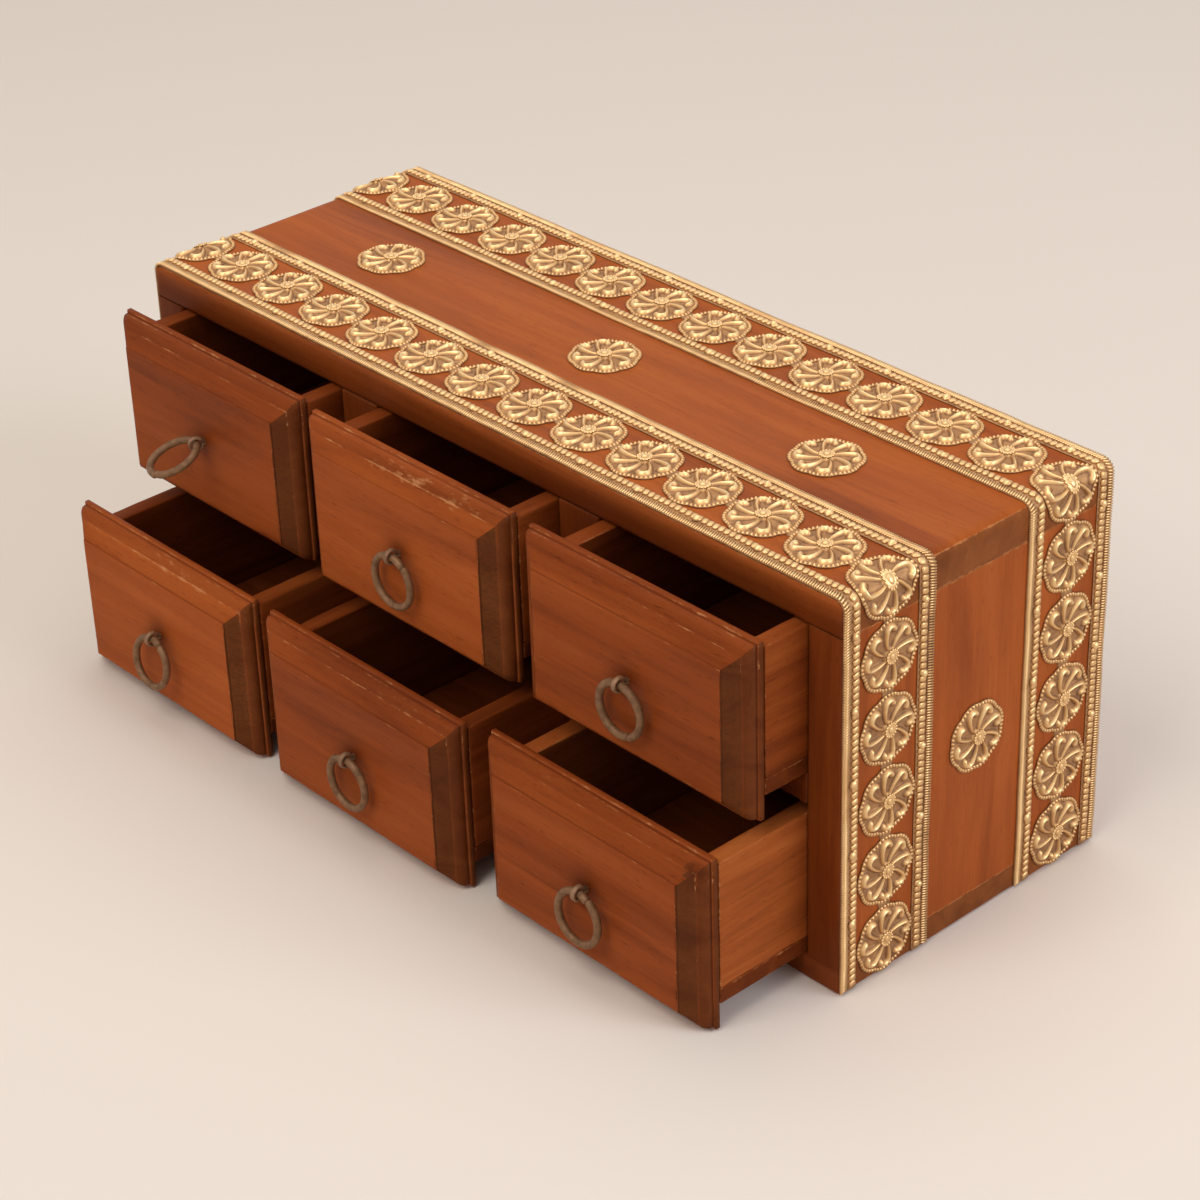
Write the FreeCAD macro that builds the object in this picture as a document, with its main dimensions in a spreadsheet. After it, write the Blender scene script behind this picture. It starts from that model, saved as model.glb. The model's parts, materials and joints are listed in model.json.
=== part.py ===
import FreeCAD, Part
import math
import operator
import os
from types import SimpleNamespace

import Sketcher

# A small wooden chest: two rows of three drawers with ring pulls, and two bands of stamped brass over it.
# The origin is the middle of the underside, the drawers open towards -Y and +Z is up.

# Driving sizes: millimetres, degrees for swings and turns, plain numbers for counts and shares
SIZES = {
    "case_width": 302.0,
    "case_depth": 108.0,
    "case_height": 127.0,
    "case_round": 3.0,
    "top_thick": 11.3,
    "bottom_thick": 8.3,
    "side_thick": 12.5,
    "back_thick": 8.0,
    "shelf_level": 58.2,
    "shelf_thick": 10.2,
    "divider_thick": 16.5,
    "slide_gap": 0.5,
    "upper_headroom": 0.7,
    "lower_headroom": 3.0,
    "rear_gap": 2.0,
    "drawer_wall": 6.0,
    "drawer_floor": 5.2,
    "front_thick": 9.0,
    "side_reveal": 3.0,
    "shelf_reveal": 3.0,
    "floor_reveal": 0.6,
    "front_rise": 2.0,
    "lip_flat": 0.8,
    "lip_step": 0.9,
    "side_ovolo_width": 2.4,
    "top_ovolo_width": 3.2,
    "foot_ovolo_width": 1.2,
    "ovolo_depth": 2.6,
    "ovolo_round": 3.2,
    "side_slope_width": 4.4,
    "top_slope_width": 4.4,
    "foot_slope_width": 3.4,
    "slope_depth": 3.0,
    "quirk_depth": 0.3,
    "cutter_run": 1.5,
    "pin_shift": 1.4,
    "pin_rise": 0.6,
    "pin_wire": 1.2,
    "pin_shank": 2.2,
    "pin_hole_gap": 0.05,
    "pin_leg": 6.0,
    "eye_gap": 0.15,
    "ring_across": 19.0,
    "ring_wire": 2.7,
    "ring_play": 0.4,
    "upper_left_pull": 12.6,
    "upper_middle_pull": 14.7,
    "upper_right_pull": 15.4,
    "lower_left_pull": 36.9,
    "lower_middle_pull": 36.9,
    "lower_right_pull": 33.0,
    "upper_left_swing": 67.0,
    "upper_middle_swing": 0.0,
    "upper_right_swing": 0.0,
    "lower_left_swing": 8.0,
    "lower_middle_swing": 0.0,
    "lower_right_swing": 3.0,
    "upper_left_turn": 24.0,
    "upper_middle_turn": 0.0,
    "upper_right_turn": 0.0,
    "lower_left_turn": 0.0,
    "lower_middle_turn": 0.0,
    "lower_right_turn": 0.0,
    "border_inset": 0.1,
    "border_width": 6.2,
    "border_thick": 0.8,
    "border_lift": 0.6,
    "chain_gap": 0.1,
    "rosette_across": 22.4,
    "rosette_sheet": 0.5,
    "rosette_lift": 0.3,
    "scallop_depth": 0.85,
    "rim_width": 1.8,
    "rim_thick": 0.8,
    "boss_across": 4.0,
    "boss_thick": 1.45,
    "button_across": 2.4,
    "button_thick": 1.75,
    "petal_width": 2.1,
    "petal_thick": 1.15,
    "crest_width": 1.2,
    "crest_thick": 1.65,
    "stem_share": 0.5,
    "stem_start": 1.5,
    "hook_reach": 7.55,
    "hook_round": 1.63,
    "link_width": 5.0,
    "link_thick": 0.4,
    "petals": 8,
    "top_rosettes": 12,
    "side_rosettes": 5,
    "medallion_left": 98.0,
    "medallion_middle": 2.0,
    "medallion_right": 93.4,
    "medallion_level": 61.5,
    "left_medallion_turn": 11.0,
    "top_left_medallion_turn": 29.0,
    "top_middle_medallion_turn": 6.0,
    "top_right_medallion_turn": 37.0,
    "right_medallion_turn": 17.0,
    "tack_across": 2.0,
}

DRAWERS = [(row, column) for row in ("upper", "lower") for column in ("left", "middle", "right")]

doc = FreeCAD.newDocument("chest_of_drawers")
sheet = doc.addObject("Spreadsheet::Sheet", "Sizes")
for line, (name, number) in enumerate(SIZES.items(), start=1):
    sheet.set(f"A{line}", name)
    sheet.set(f"B{line}", str(number))
    sheet.setAlias(f"B{line}", name)
doc.recompute()


class Size:
    """A number together with the expression that ties it to the sheet."""

    work = {"+": operator.add, "-": operator.sub, "*": operator.mul, "/": operator.truediv}

    def __init__(self, text, value):
        self.text = text
        self.value = value

    def join(self, sign, other, swap=False):
        other = other if isinstance(other, Size) else Size(str(other), other)
        left, right = (other, self) if swap else (self, other)
        return Size(f"({left.text} {sign} {right.text})", Size.work[sign](left.value, right.value))

    def __add__(self, other):
        return self.join("+", other)

    def __radd__(self, other):
        return self.join("+", other, swap=True)

    def __sub__(self, other):
        return self.join("-", other)

    def __rsub__(self, other):
        return self.join("-", other, swap=True)

    def __mul__(self, other):
        return self.join("*", other)

    def __rmul__(self, other):
        return self.join("*", other, swap=True)

    def __truediv__(self, other):
        return self.join("/", other)

    def __neg__(self):
        return self.join("-", 0, swap=True)


ZERO = Size("0", 0.0)
s = SimpleNamespace(**{name: Size(f"Sizes.{name}", float(sheet.get(name))) for name in SIZES})

# Sizes that follow from the driving ones
half_width = s.case_width / 2
half_depth = s.case_depth / 2
shelf_top = s.shelf_level + s.shelf_thick
opening_width = (s.case_width - 2 * s.side_thick - 2 * s.divider_thick) / 3
inner_depth = s.case_depth - s.back_thick
box_width = opening_width - 2 * s.slide_gap
box_length = inner_depth - s.rear_gap
front_overlap = s.side_thick - s.side_reveal
front_width = box_width + front_overlap
moulding_depth = s.quirk_depth + s.slope_depth + s.ovolo_depth + s.lip_step
ring_radius = (s.ring_across - s.ring_wire) / 2
eye_radius = s.ring_wire / 2 + s.ring_play + s.pin_wire / 2
eye_reach = eye_radius + s.pin_wire / 2 + s.eye_gap
rosette_radius = s.rosette_across / 2
fold_width = s.rosette_across - 2 * s.scallop_depth
top_pitch = s.case_width / (s.top_rosettes + 1)
side_pitch = (s.case_height - rosette_radius - s.rosette_lift) / s.side_rosettes
chain_offset = half_depth - s.border_inset - s.border_width - s.chain_gap - rosette_radius
outer_border_offset = half_depth - s.border_inset - s.border_width / 2
inner_border_offset = chain_offset - rosette_radius - s.chain_gap - s.border_width / 2

row_floor = {"upper": shelf_top, "lower": s.bottom_thick}
row_opening = {"upper": s.case_height - s.top_thick - shelf_top, "lower": s.shelf_level - s.bottom_thick}
row_headroom = {"upper": s.upper_headroom, "lower": s.lower_headroom}
row_drop = {"upper": s.shelf_thick - s.shelf_reveal, "lower": s.bottom_thick - s.floor_reveal}
box_height = {row: row_opening[row] - row_headroom[row] for row in row_floor}
front_height = {row: box_height[row] + row_drop[row] + s.front_rise for row in row_floor}
column_step = {"left": 0, "middle": 1, "right": 2}
column_start = {
    column: step * (opening_width + s.divider_thick) + s.side_thick - half_width
    for column, step in column_step.items()
}

# The hook of a petal ends this far round its middle, and its tip is a little flatter than a half circle
HOOK_END = math.radians(-85)
TIP_ROUND = 1.06

ALONG_Y = FreeCAD.Rotation(FreeCAD.Vector(1, 0, 0), -90)
# How far brass work is turned about Y from lying flat to face each way
FACING = {"up": ZERO, "right": Size("90", 90.0), "left": Size("-90", -90.0)}

pieces = []


def bind(thing, prop, size):
    """Tie one property to the sheet."""
    thing.setExpression(prop, size.text)


def place(thing, x, y, z):
    """Tie the three coordinates of a thing's place to the sheet."""
    for axis, size in zip("xyz", (x, y, z)):
        bind(thing, f"Placement.Base.{axis}", size)


def keep(thing, label):
    """Name a finished piece and add it to the list of pieces."""
    thing.Label = label
    pieces.append(thing)
    return thing


def turned_place(x, y, z, *turns):
    """The expression of a place followed by turns, each given as an axis, an angle and a shift along Z."""
    text = f"placement(vector({x.text}; {y.text}; {z.text}); rotation(vector(0; 0; 1); 0))"
    for axis, angle, shift in turns:
        text += f" * placement(vector(0; 0; {shift.text}); rotation(vector({axis}); {angle.text}))"
    return text


def board(label, corner, extent):
    """A plain board given by its lowest corner and its extent along X, Y and Z."""
    box = doc.addObject("Part::Box", label)
    for prop, size in zip(("Length", "Width", "Height"), extent):
        bind(box, prop, size)
    place(box, *corner)
    return keep(box, label)


def round_bar(name, across, length, rotation):
    """A cylinder that is turned by a fixed rotation."""
    bar = doc.addObject("Part::Cylinder", name)
    bar.Placement.Rotation = rotation
    bind(bar, "Radius", across / 2)
    bind(bar, "Height", length)
    return bar


def fuse(name, shapes):
    """Several shapes joined into one."""
    joined = doc.addObject("Part::MultiFuse", name)
    joined.Shapes = shapes
    return joined


def new_body(name):
    return doc.addObject("PartDesign::Body", name)


def new_sketch(body, role, name):
    """A sketch on one of the body's own origin planes."""
    sketch = body.newObject("Sketcher::SketchObject", name)
    plane = next(feature for feature in body.Origin.OriginFeatures if feature.Role == role)
    sketch.AttachmentSupport = (plane, [""])
    sketch.MapMode = "FlatFace"
    return sketch


def arc_between(start, end, radius):
    """The minor arc from start to end: its middle lies left of the way for a positive radius, else right."""
    chord = end - start
    reach = math.sqrt(radius * radius - chord.Length * chord.Length / 4)
    left = FreeCAD.Vector(-chord.y, chord.x, 0).normalize()
    middle = (start + end) / 2 + left * math.copysign(reach, radius)
    first, last = (start, end) if radius > 0 else (end, start)
    angles = [math.atan2(point.y - middle.y, point.x - middle.x) for point in (first, last)]
    return Part.ArcOfCircle(Part.Circle(middle, FreeCAD.Vector(0, 0, 1), abs(radius)), *angles)


def outline(sketch, corners, rounds):
    """A closed outline through corners tied to the sheet; rounds holds the radius of each curved side."""
    points = [FreeCAD.Vector(x.value, y.value, 0) for x, y in corners]
    ends = []
    for side, start in enumerate(points):
        end = points[(side + 1) % len(points)]
        if side in rounds:
            radius = rounds[side]
            index = sketch.addGeometry(arc_between(start, end, radius.value), False)
            circle = sketch.addConstraint(Sketcher.Constraint("Radius", index, abs(radius.value)))
            bind(sketch, f"Constraints[{circle}]", radius if radius.value > 0 else -radius)
            ends.append((index, 1, 2) if radius.value > 0 else (index, 2, 1))
        else:
            index = sketch.addGeometry(Part.LineSegment(start, end), False)
            ends.append((index, 1, 2))
    for side, (index, start, _) in enumerate(ends):
        before, _, end = ends[side - 1]
        sketch.addConstraint(Sketcher.Constraint("Coincident", before, end, index, start))
        for kind, size in zip(("DistanceX", "DistanceY"), corners[side]):
            held = sketch.addConstraint(Sketcher.Constraint(kind, -1, 1, index, start, size.value))
            bind(sketch, f"Constraints[{held}]", size)


def pad(body, sketch, length, name):
    feature = body.newObject("PartDesign::Pad", name)
    feature.Profile = sketch
    bind(feature, "Length", length)
    return feature


def pocket_through(body, sketch, name):
    """A cut that runs right through the body on both sides of the sketch."""
    feature = body.newObject("PartDesign::Pocket", name)
    feature.Profile = sketch
    feature.Type = "ThroughAll"
    feature.SideType = "Symmetric"
    return feature


def saddle(name, width, thick, lift, middle_y):
    """A strip of sheet brass bent over the rounded edges of the top, both ends a little above the floor."""
    flat = half_width - s.case_round
    shoulder = s.case_height - s.case_round
    outer_round = s.case_round + thick
    right = [
        (half_width, lift),
        (half_width + thick, lift),
        (half_width + thick, shoulder),
        (flat, s.case_height + thick),
    ]
    left = [
        (-flat, s.case_height + thick),
        (-half_width - thick, shoulder),
        (-half_width - thick, lift),
        (-half_width, lift),
    ]
    under = [
        (-half_width, shoulder),
        (-flat, s.case_height),
        (flat, s.case_height),
        (half_width, shoulder),
    ]
    body = new_body(name)
    sketch = new_sketch(body, "XZ_Plane", f"{name}_section")
    rounds = {2: outer_round, 4: outer_round, 8: -s.case_round, 10: -s.case_round}
    outline(sketch, right + left + under, rounds)
    pad(body, sketch, width, f"{name}_strip")
    place(body, ZERO, middle_y + width / 2, ZERO)
    return body


def scalloped(sketch):
    """The rosette's outline: one lobe over each petal, with a notch between them."""
    count = int(s.petals.value)
    half_step = math.pi / count
    notch = rosette_radius - s.scallop_depth
    half_chord = math.sin(half_step) * notch
    bulge = rosette_radius - math.cos(half_step) * notch
    lobe_round = (half_chord * half_chord + bulge * bulge) / (2 * bulge)
    angles = [(2 * lobe - 1) * half_step for lobe in range(count)]
    outline(sketch, [(math.cos(angle) * notch, math.sin(angle) * notch) for angle in angles],
            {lobe: lobe_round for lobe in range(count)})


def petal_outline(sketch, width):
    """One petal along X: a stem that widens from the boss, and a hook that turns clockwise at its end."""
    half = width / 2
    half_stem = half * s.stem_share
    inner = s.hook_round - half
    outer = s.hook_round + half
    out, up = math.cos(HOOK_END), math.sin(HOOK_END)
    corners = [
        (s.stem_start, s.hook_round - half_stem),
        (s.hook_reach, inner),
        (s.hook_reach + out * inner, up * inner),
        (s.hook_reach + out * outer, up * outer),
        (s.hook_reach, outer),
        (s.stem_start, s.hook_round + half_stem),
    ]
    outline(sketch, corners, {1: -inner, 2: TIP_ROUND * half, 3: outer})


def hold_circle(sketch, radius):
    """A circle round the sketch's origin."""
    circle = sketch.addGeometry(Part.Circle(FreeCAD.Vector(), FreeCAD.Vector(0, 0, 1), radius.value), False)
    sketch.addConstraint(Sketcher.Constraint("Coincident", -1, 1, circle, 3))
    held = sketch.addConstraint(Sketcher.Constraint("Radius", circle, radius.value))
    bind(sketch, f"Constraints[{held}]", radius)


def rosette_stamp():
    """One rosette lying flat: a scalloped sheet with a raised rim, hooked petals and a stepped boss."""
    body = new_body("rosette_stamp")
    sheet_outline = new_sketch(body, "XY_Plane", "rosette_sheet_outline")
    scalloped(sheet_outline)
    pad(body, sheet_outline, s.rosette_sheet, "rosette_sheet")
    rim_outline = new_sketch(body, "XY_Plane", "rosette_rim_outline")
    scalloped(rim_outline)
    hold_circle(rim_outline, rosette_radius - s.rim_width)
    pad(body, rim_outline, s.rim_thick, "rosette_rim")
    ridges = []
    layers = [("petal", s.petal_width, s.petal_thick), ("crest", s.crest_width, s.crest_thick)]
    for name, width, thick in layers:
        ridge_outline = new_sketch(body, "XY_Plane", f"{name}_outline")
        petal_outline(ridge_outline, width)
        ridges.append(pad(body, ridge_outline, thick, name))
    doc.recompute()
    whorl = body.newObject("PartDesign::PolarPattern", "petal_whorl")
    whorl.Originals = ridges
    whorl.Axis = (sheet_outline, ["N_Axis"])
    whorl.Angle = 360
    bind(whorl, "Occurrences", s.petals)
    body.Tip = whorl
    steps = [("boss", s.boss_across, s.boss_thick), ("button", s.button_across, s.button_thick)]
    for name, across, thick in steps:
        boss_outline = new_sketch(body, "XY_Plane", f"{name}_outline")
        hold_circle(boss_outline, across / 2)
        pad(body, boss_outline, thick, name)
    return body


def rosette(name, facing, x, y, z, turn=ZERO):
    """A rosette on the top or on a side, turned in its own plane."""
    copy = doc.addObject("Part::Compound", name)
    copy.Links = [STAMP]
    turns = [("0; 1; 0", FACING[facing], ZERO), ("0; 0; 1", turn, ZERO)]
    copy.setExpression("Placement", turned_place(x, y, z, *turns))
    return copy


def bend(name, width, thick, way, middle_y):
    """Sheet brass round one upper edge of the case, from the flat of the top to the flat of the side."""
    flat = way * (half_width - s.case_round)
    side = way * half_width
    shoulder = s.case_height - s.case_round
    corners = [
        (side, shoulder),
        (side + way * thick, shoulder),
        (flat, s.case_height + thick),
        (flat, s.case_height),
    ]
    body = new_body(name)
    sketch = new_sketch(body, "XZ_Plane", f"{name}_section")
    outline(sketch, corners, {1: way * (s.case_round + thick), 3: -way * s.case_round})
    pad(body, sketch, width, f"{name}_sheet")
    place(body, ZERO, middle_y + width / 2, ZERO)
    return body


def folded_rosettes(label, middle_y):
    """The rosettes at both edges of the top, with one half on the top and the other on the side."""
    flat = half_width - s.case_round
    shoulder = s.case_height - s.case_round
    half_bend = s.case_round * (math.pi / 4)
    shapes, halves = [], {"top": [], "side": []}
    for side, way in (("left", -1), ("right", 1)):
        shapes.append(bend(f"{label}_{side}_bend", fold_width, s.rosette_sheet, way, middle_y))
        over = (f"{label}_{side}_over", "up", way * (flat + half_bend), middle_y, s.case_height)
        down = (f"{label}_{side}_down", side, way * half_width, middle_y, shoulder + half_bend)
        halves["top"].append(rosette(*over))
        halves["side"].append(rosette(*down))
    rooms = {"top": (-flat, s.case_height, 2 * flat), "side": (-s.case_width, ZERO, 2 * s.case_width)}
    for face, (room_x, room_z, room_length) in rooms.items():
        room = doc.addObject("Part::Box", f"{label}_{face}_room")
        for prop, size in zip(("Length", "Width", "Height"), (room_length, s.case_depth, shoulder)):
            bind(room, prop, size)
        place(room, room_x, -half_depth, room_z)
        pair = doc.addObject("Part::Compound", f"{label}_{face}_pair")
        pair.Links = halves[face]
        half = doc.addObject("Part::Common", f"{label}_{face}_halves")
        half.Base = pair
        half.Tool = room
        shapes.append(half)
    return shapes


def rosette_chain(label, middle_y):
    """Rosettes linked by a narrow strip that runs over the top and down both sides."""
    links_lift = rosette_radius + s.rosette_lift
    shapes = [saddle(f"{label}_links", s.link_width, s.link_thick, links_lift, middle_y)]
    shapes += folded_rosettes(label, middle_y)
    for step in range(1, int(s.top_rosettes.value) + 1):
        x = step * top_pitch - half_width
        shapes.append(rosette(f"{label}_top_{step}", "up", x, middle_y, s.case_height))
    for step in range(1, int(s.side_rosettes.value) + 1):
        z = s.case_height - step * side_pitch
        shapes.append(rosette(f"{label}_left_{step}", "left", -half_width, middle_y, z))
        shapes.append(rosette(f"{label}_right_{step}", "right", half_width, middle_y, z))
    return keep(fuse(label, shapes), label)


def medallions():
    """Three loose rosettes along the middle of the top and one on each side, each turned its own way."""
    spots = {
        "left": ("left", -half_width, s.medallion_level),
        "top_left": ("up", -s.medallion_left, s.case_height),
        "top_middle": ("up", s.medallion_middle, s.case_height),
        "top_right": ("up", s.medallion_right, s.case_height),
        "right": ("right", half_width, s.medallion_level),
    }
    group = doc.addObject("Part::Compound", "brass_medallions")
    group.Links = [
        rosette(f"{spot}_medallion", facing, x, ZERO, z, getattr(s, f"{spot}_medallion_turn"))
        for spot, (facing, x, z) in spots.items()
    ]
    return keep(group, "brass_medallions")


def tacks():
    """Round tack heads along the middle of each border, half a step from the rosettes."""
    skin_x = half_width + s.border_thick
    skin_z = s.case_height + s.border_thick
    spots = []
    for step in range(int(s.top_rosettes.value) + 1):
        spots.append(("up", (step + 0.5) * top_pitch - half_width, skin_z))
    for step in range(int(s.side_rosettes.value)):
        z = s.case_height - (step + 0.5) * side_pitch
        spots += [("left", -skin_x, z), ("right", skin_x, z)]
    heads = []
    for y in (-outer_border_offset, -inner_border_offset, inner_border_offset, outer_border_offset):
        for facing, x, z in spots:
            head = doc.addObject("Part::Sphere", f"tack_{len(heads)}")
            head.Angle1 = 0
            bind(head, "Radius", s.tack_across / 2)
            head.setExpression("Placement", turned_place(x, y, z, ("0; 1; 0", FACING[facing], ZERO)))
            heads.append(head)
    group = doc.addObject("Part::Compound", "brass_tacks")
    group.Links = heads
    return keep(group, "brass_tacks")


def case_top():
    """The top board, with its left and right upper edges rounded."""
    flat = half_width - s.case_round
    under = s.case_height - s.top_thick
    shoulder = s.case_height - s.case_round
    corners = [
        (-half_width, under),
        (half_width, under),
        (half_width, shoulder),
        (flat, s.case_height),
        (-flat, s.case_height),
        (-half_width, shoulder),
    ]
    body = new_body("case_top")
    sketch = new_sketch(body, "XZ_Plane", "case_top_section")
    outline(sketch, corners, {2: s.case_round, 4: s.case_round})
    pad(body, sketch, s.case_depth, "case_top_board")
    place(body, ZERO, half_depth, ZERO)
    return keep(body, "case_top")


def case_boards():
    """Bottom, sides, back, shelf and the uprights between the drawers."""
    side_height = s.case_height - s.top_thick - s.bottom_thick
    inner_width = s.case_width - 2 * s.side_thick
    inner_left = s.side_thick - half_width
    board("case_bottom", (-half_width, -half_depth, ZERO), (s.case_width, s.case_depth, s.bottom_thick))
    for side, x in (("left", -half_width), ("right", half_width - s.side_thick)):
        extent = (s.side_thick, s.case_depth, side_height)
        board(f"case_{side}_side", (x, -half_depth, s.bottom_thick), extent)
    back_corner = (inner_left, half_depth - s.back_thick, s.bottom_thick)
    board("case_back", back_corner, (inner_width, s.back_thick, side_height))
    board("case_shelf", (inner_left, -half_depth, s.shelf_level), (inner_width, inner_depth, s.shelf_thick))
    for row in row_floor:
        for side, column in (("left", "left"), ("right", "middle")):
            corner = (column_start[column] + opening_width, -half_depth, row_floor[row])
            board(f"{row}_{side}_divider", corner, (s.divider_thick, inner_depth, row_opening[row]))


def moulding_waste(half, ovolo_width, slope_width):
    """What the moulding takes off one edge, as distances from the front's middle and heights on its back."""
    lip = half - s.lip_flat
    arris = lip - ovolo_width
    inner = arris - slope_width
    return [
        (half + s.cutter_run, moulding_depth - s.front_thick),
        (lip, moulding_depth - s.front_thick),
        (lip, moulding_depth - s.lip_step - s.front_thick),
        (arris, s.quirk_depth + s.slope_depth - s.front_thick),
        (inner, s.quirk_depth - s.front_thick),
        (inner, -s.front_thick - s.cutter_run),
        (half + s.cutter_run, -s.front_thick - s.cutter_run),
    ]


def drawer_front(label, row, x, y, z):
    """An overlay front: a slab, the moulding cut along its four edges, and the hole for the split pin."""
    half_across = front_width / 2
    half_up = front_height[row] / 2
    ovolo = 2
    body = new_body(label)
    slab = new_sketch(body, "XZ_Plane", f"{label}_face")
    corners = [(across * half_across, up * half_up) for across, up in ((-1, -1), (1, -1), (1, 1), (-1, 1))]
    outline(slab, corners, {})
    pad(body, slab, s.front_thick, f"{label}_slab")
    level = new_sketch(body, "YZ_Plane", f"{label}_level_moulding")
    waste = moulding_waste(half_up, s.top_ovolo_width, s.top_slope_width)
    outline(level, [(high, out) for out, high in waste], {ovolo: s.ovolo_round})
    waste = moulding_waste(half_up, s.foot_ovolo_width, s.foot_slope_width)
    outline(level, [(high, -out) for out, high in waste], {ovolo: -s.ovolo_round})
    pocket_through(body, level, f"{label}_level_cut")
    upright = new_sketch(body, "XY_Plane", f"{label}_upright_moulding")
    waste = moulding_waste(half_across, s.side_ovolo_width, s.side_slope_width)
    outline(upright, waste, {ovolo: -s.ovolo_round})
    outline(upright, [(-out, high) for out, high in waste], {ovolo: s.ovolo_round})
    pocket_through(body, upright, f"{label}_upright_cut")
    bore = new_sketch(body, "XZ_Plane", f"{label}_pin_bore")
    bore_radius = s.pin_shank / 2 + s.pin_hole_gap
    middle = FreeCAD.Vector(s.pin_shift.value, s.pin_rise.value, 0)
    circle = bore.addGeometry(Part.Circle(middle, FreeCAD.Vector(0, 0, 1), bore_radius.value), False)
    holds = [("DistanceX", s.pin_shift), ("DistanceY", s.pin_rise)]
    for kind, size in holds:
        held = bore.addConstraint(Sketcher.Constraint(kind, -1, 1, circle, 3, size.value))
        bind(bore, f"Constraints[{held}]", size)
    held = bore.addConstraint(Sketcher.Constraint("Radius", circle, bore_radius.value))
    bind(bore, f"Constraints[{held}]", bore_radius)
    pocket_through(body, bore, f"{label}_pin_hole")
    place(body, x, y, z)
    return keep(body, label)


def ring_pin(label, turn, x, y, z):
    """A split pin: its eye in front of the drawer, its shank in the front and its legs clinched behind."""
    eye_y = y - s.front_thick - eye_reach
    eye = doc.addObject("Part::Torus", f"{label}_eye")
    bind(eye, "Radius1", eye_radius)
    bind(eye, "Radius2", s.pin_wire / 2)
    quarter = Size("90", 90.0)
    turns = [("0; 0; 1", -turn, ZERO), ("0; 1; 0", quarter, ZERO)]
    eye.setExpression("Placement", turned_place(x, eye_y, z, *turns))
    shank_start = eye_y + eye_radius
    shank = round_bar(f"{label}_shank", s.pin_shank, y + s.pin_wire - shank_start, ALONG_Y)
    place(shank, x, shank_start, z)
    legs = doc.addObject("Part::Box", f"{label}_legs")
    for prop, size in zip(("Length", "Width", "Height"), (s.pin_shank, s.pin_wire, 2 * s.pin_leg)):
        bind(legs, prop, size)
    place(legs, x - s.pin_shank / 2, y, z - s.pin_leg)
    return keep(fuse(label, [eye, shank, legs]), label)


def ring(label, swing, turn, x, y, z):
    """A wire ring that hangs in the eye, swung out from the front and turned about the upright."""
    wire = doc.addObject("Part::Torus", label)
    bind(wire, "Radius1", ring_radius)
    bind(wire, "Radius2", s.ring_wire / 2)
    quarter = Size("90", 90.0)
    turns = [("0; 0; 1", -turn, ZERO), ("1; 0; 0", -swing, ZERO), ("1; 0; 0", quarter, -ring_radius)]
    wire.setExpression("Placement", turned_place(x, y - s.front_thick - eye_reach, z, *turns))
    return keep(wire, label)


def drawer(row, column):
    """One drawer with its front, four walls and floor, and its ring in a split pin."""
    name = f"{row}_{column}"
    pull = getattr(s, f"{name}_pull")
    turn = getattr(s, f"{name}_turn")
    x = column_start[column] + s.slide_gap
    y = -half_depth - pull
    z = row_floor[row]
    wall_z = z + s.drawer_floor
    wall_height = box_height[row] - s.drawer_floor
    front_x = x - front_overlap + front_width / 2
    front_z = z - row_drop[row] + front_height[row] / 2
    drawer_front(f"{name}_drawer_front", row, front_x, y, front_z)
    board(f"{name}_drawer_bottom", (x, y, z), (box_width, box_length, s.drawer_floor))
    for side, wall_x in (("left", x), ("right", x + box_width - s.drawer_wall)):
        board(f"{name}_drawer_{side}_side", (wall_x, y, wall_z), (s.drawer_wall, box_length, wall_height))
    back_corner = (x + s.drawer_wall, y + box_length - s.drawer_wall, wall_z)
    board(f"{name}_drawer_back", back_corner, (box_width - 2 * s.drawer_wall, s.drawer_wall, wall_height))
    pin_x = front_x + s.pin_shift
    pin_z = front_z + s.pin_rise
    ring_pin(f"{name}_ring_pin", turn, pin_x, y, pin_z)
    ring(f"{name}_ring", getattr(s, f"{name}_swing"), turn, pin_x, y, pin_z)


STAMP = rosette_stamp()
case_top()
case_boards()
for end, way in (("front", -1), ("rear", 1)):
    for line, offset in (("outer", outer_border_offset), ("inner", inner_border_offset)):
        border_label = f"{end}_{line}_border"
        keep(saddle(border_label, s.border_width, s.border_thick, s.border_lift, way * offset), border_label)
    rosette_chain(f"{end}_rosette_chain", way * chain_offset)
medallions()
tacks()
for row_name, column_name in DRAWERS:
    drawer(row_name, column_name)
doc.recompute()

for thing in doc.Objects:
    if "Invalid" in thing.State or "Error" in thing.State:
        raise RuntimeError(f"{thing.Label} failed: {thing.State}")
for piece in pieces:
    if piece.Shape.isNull() or not piece.Shape.isValid():
        raise RuntimeError(f"{piece.Label} has no sound shape")

os.makedirs("parts", exist_ok=True)
for piece in pieces:
    piece.Shape.exportStep(f"parts/{piece.Label}.step")
print(len(pieces), "pieces written")
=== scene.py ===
import json
import math
from itertools import product

import bmesh
import bpy
import numpy as np
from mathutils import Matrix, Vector, noise


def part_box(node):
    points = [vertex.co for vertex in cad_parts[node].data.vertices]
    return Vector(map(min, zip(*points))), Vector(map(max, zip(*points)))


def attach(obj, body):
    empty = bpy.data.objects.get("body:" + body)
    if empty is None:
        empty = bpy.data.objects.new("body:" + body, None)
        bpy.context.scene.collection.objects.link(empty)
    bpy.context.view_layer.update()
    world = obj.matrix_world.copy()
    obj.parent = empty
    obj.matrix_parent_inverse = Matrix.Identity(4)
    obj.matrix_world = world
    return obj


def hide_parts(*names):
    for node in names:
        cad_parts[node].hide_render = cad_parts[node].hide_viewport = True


# A small chest with six drawers: worn hardwood, bands of stamped brass over its top, and wire ring pulls.
# Sizes are in millimetres unless a name says otherwise. The frame and every finished mesh are in metres.

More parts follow.
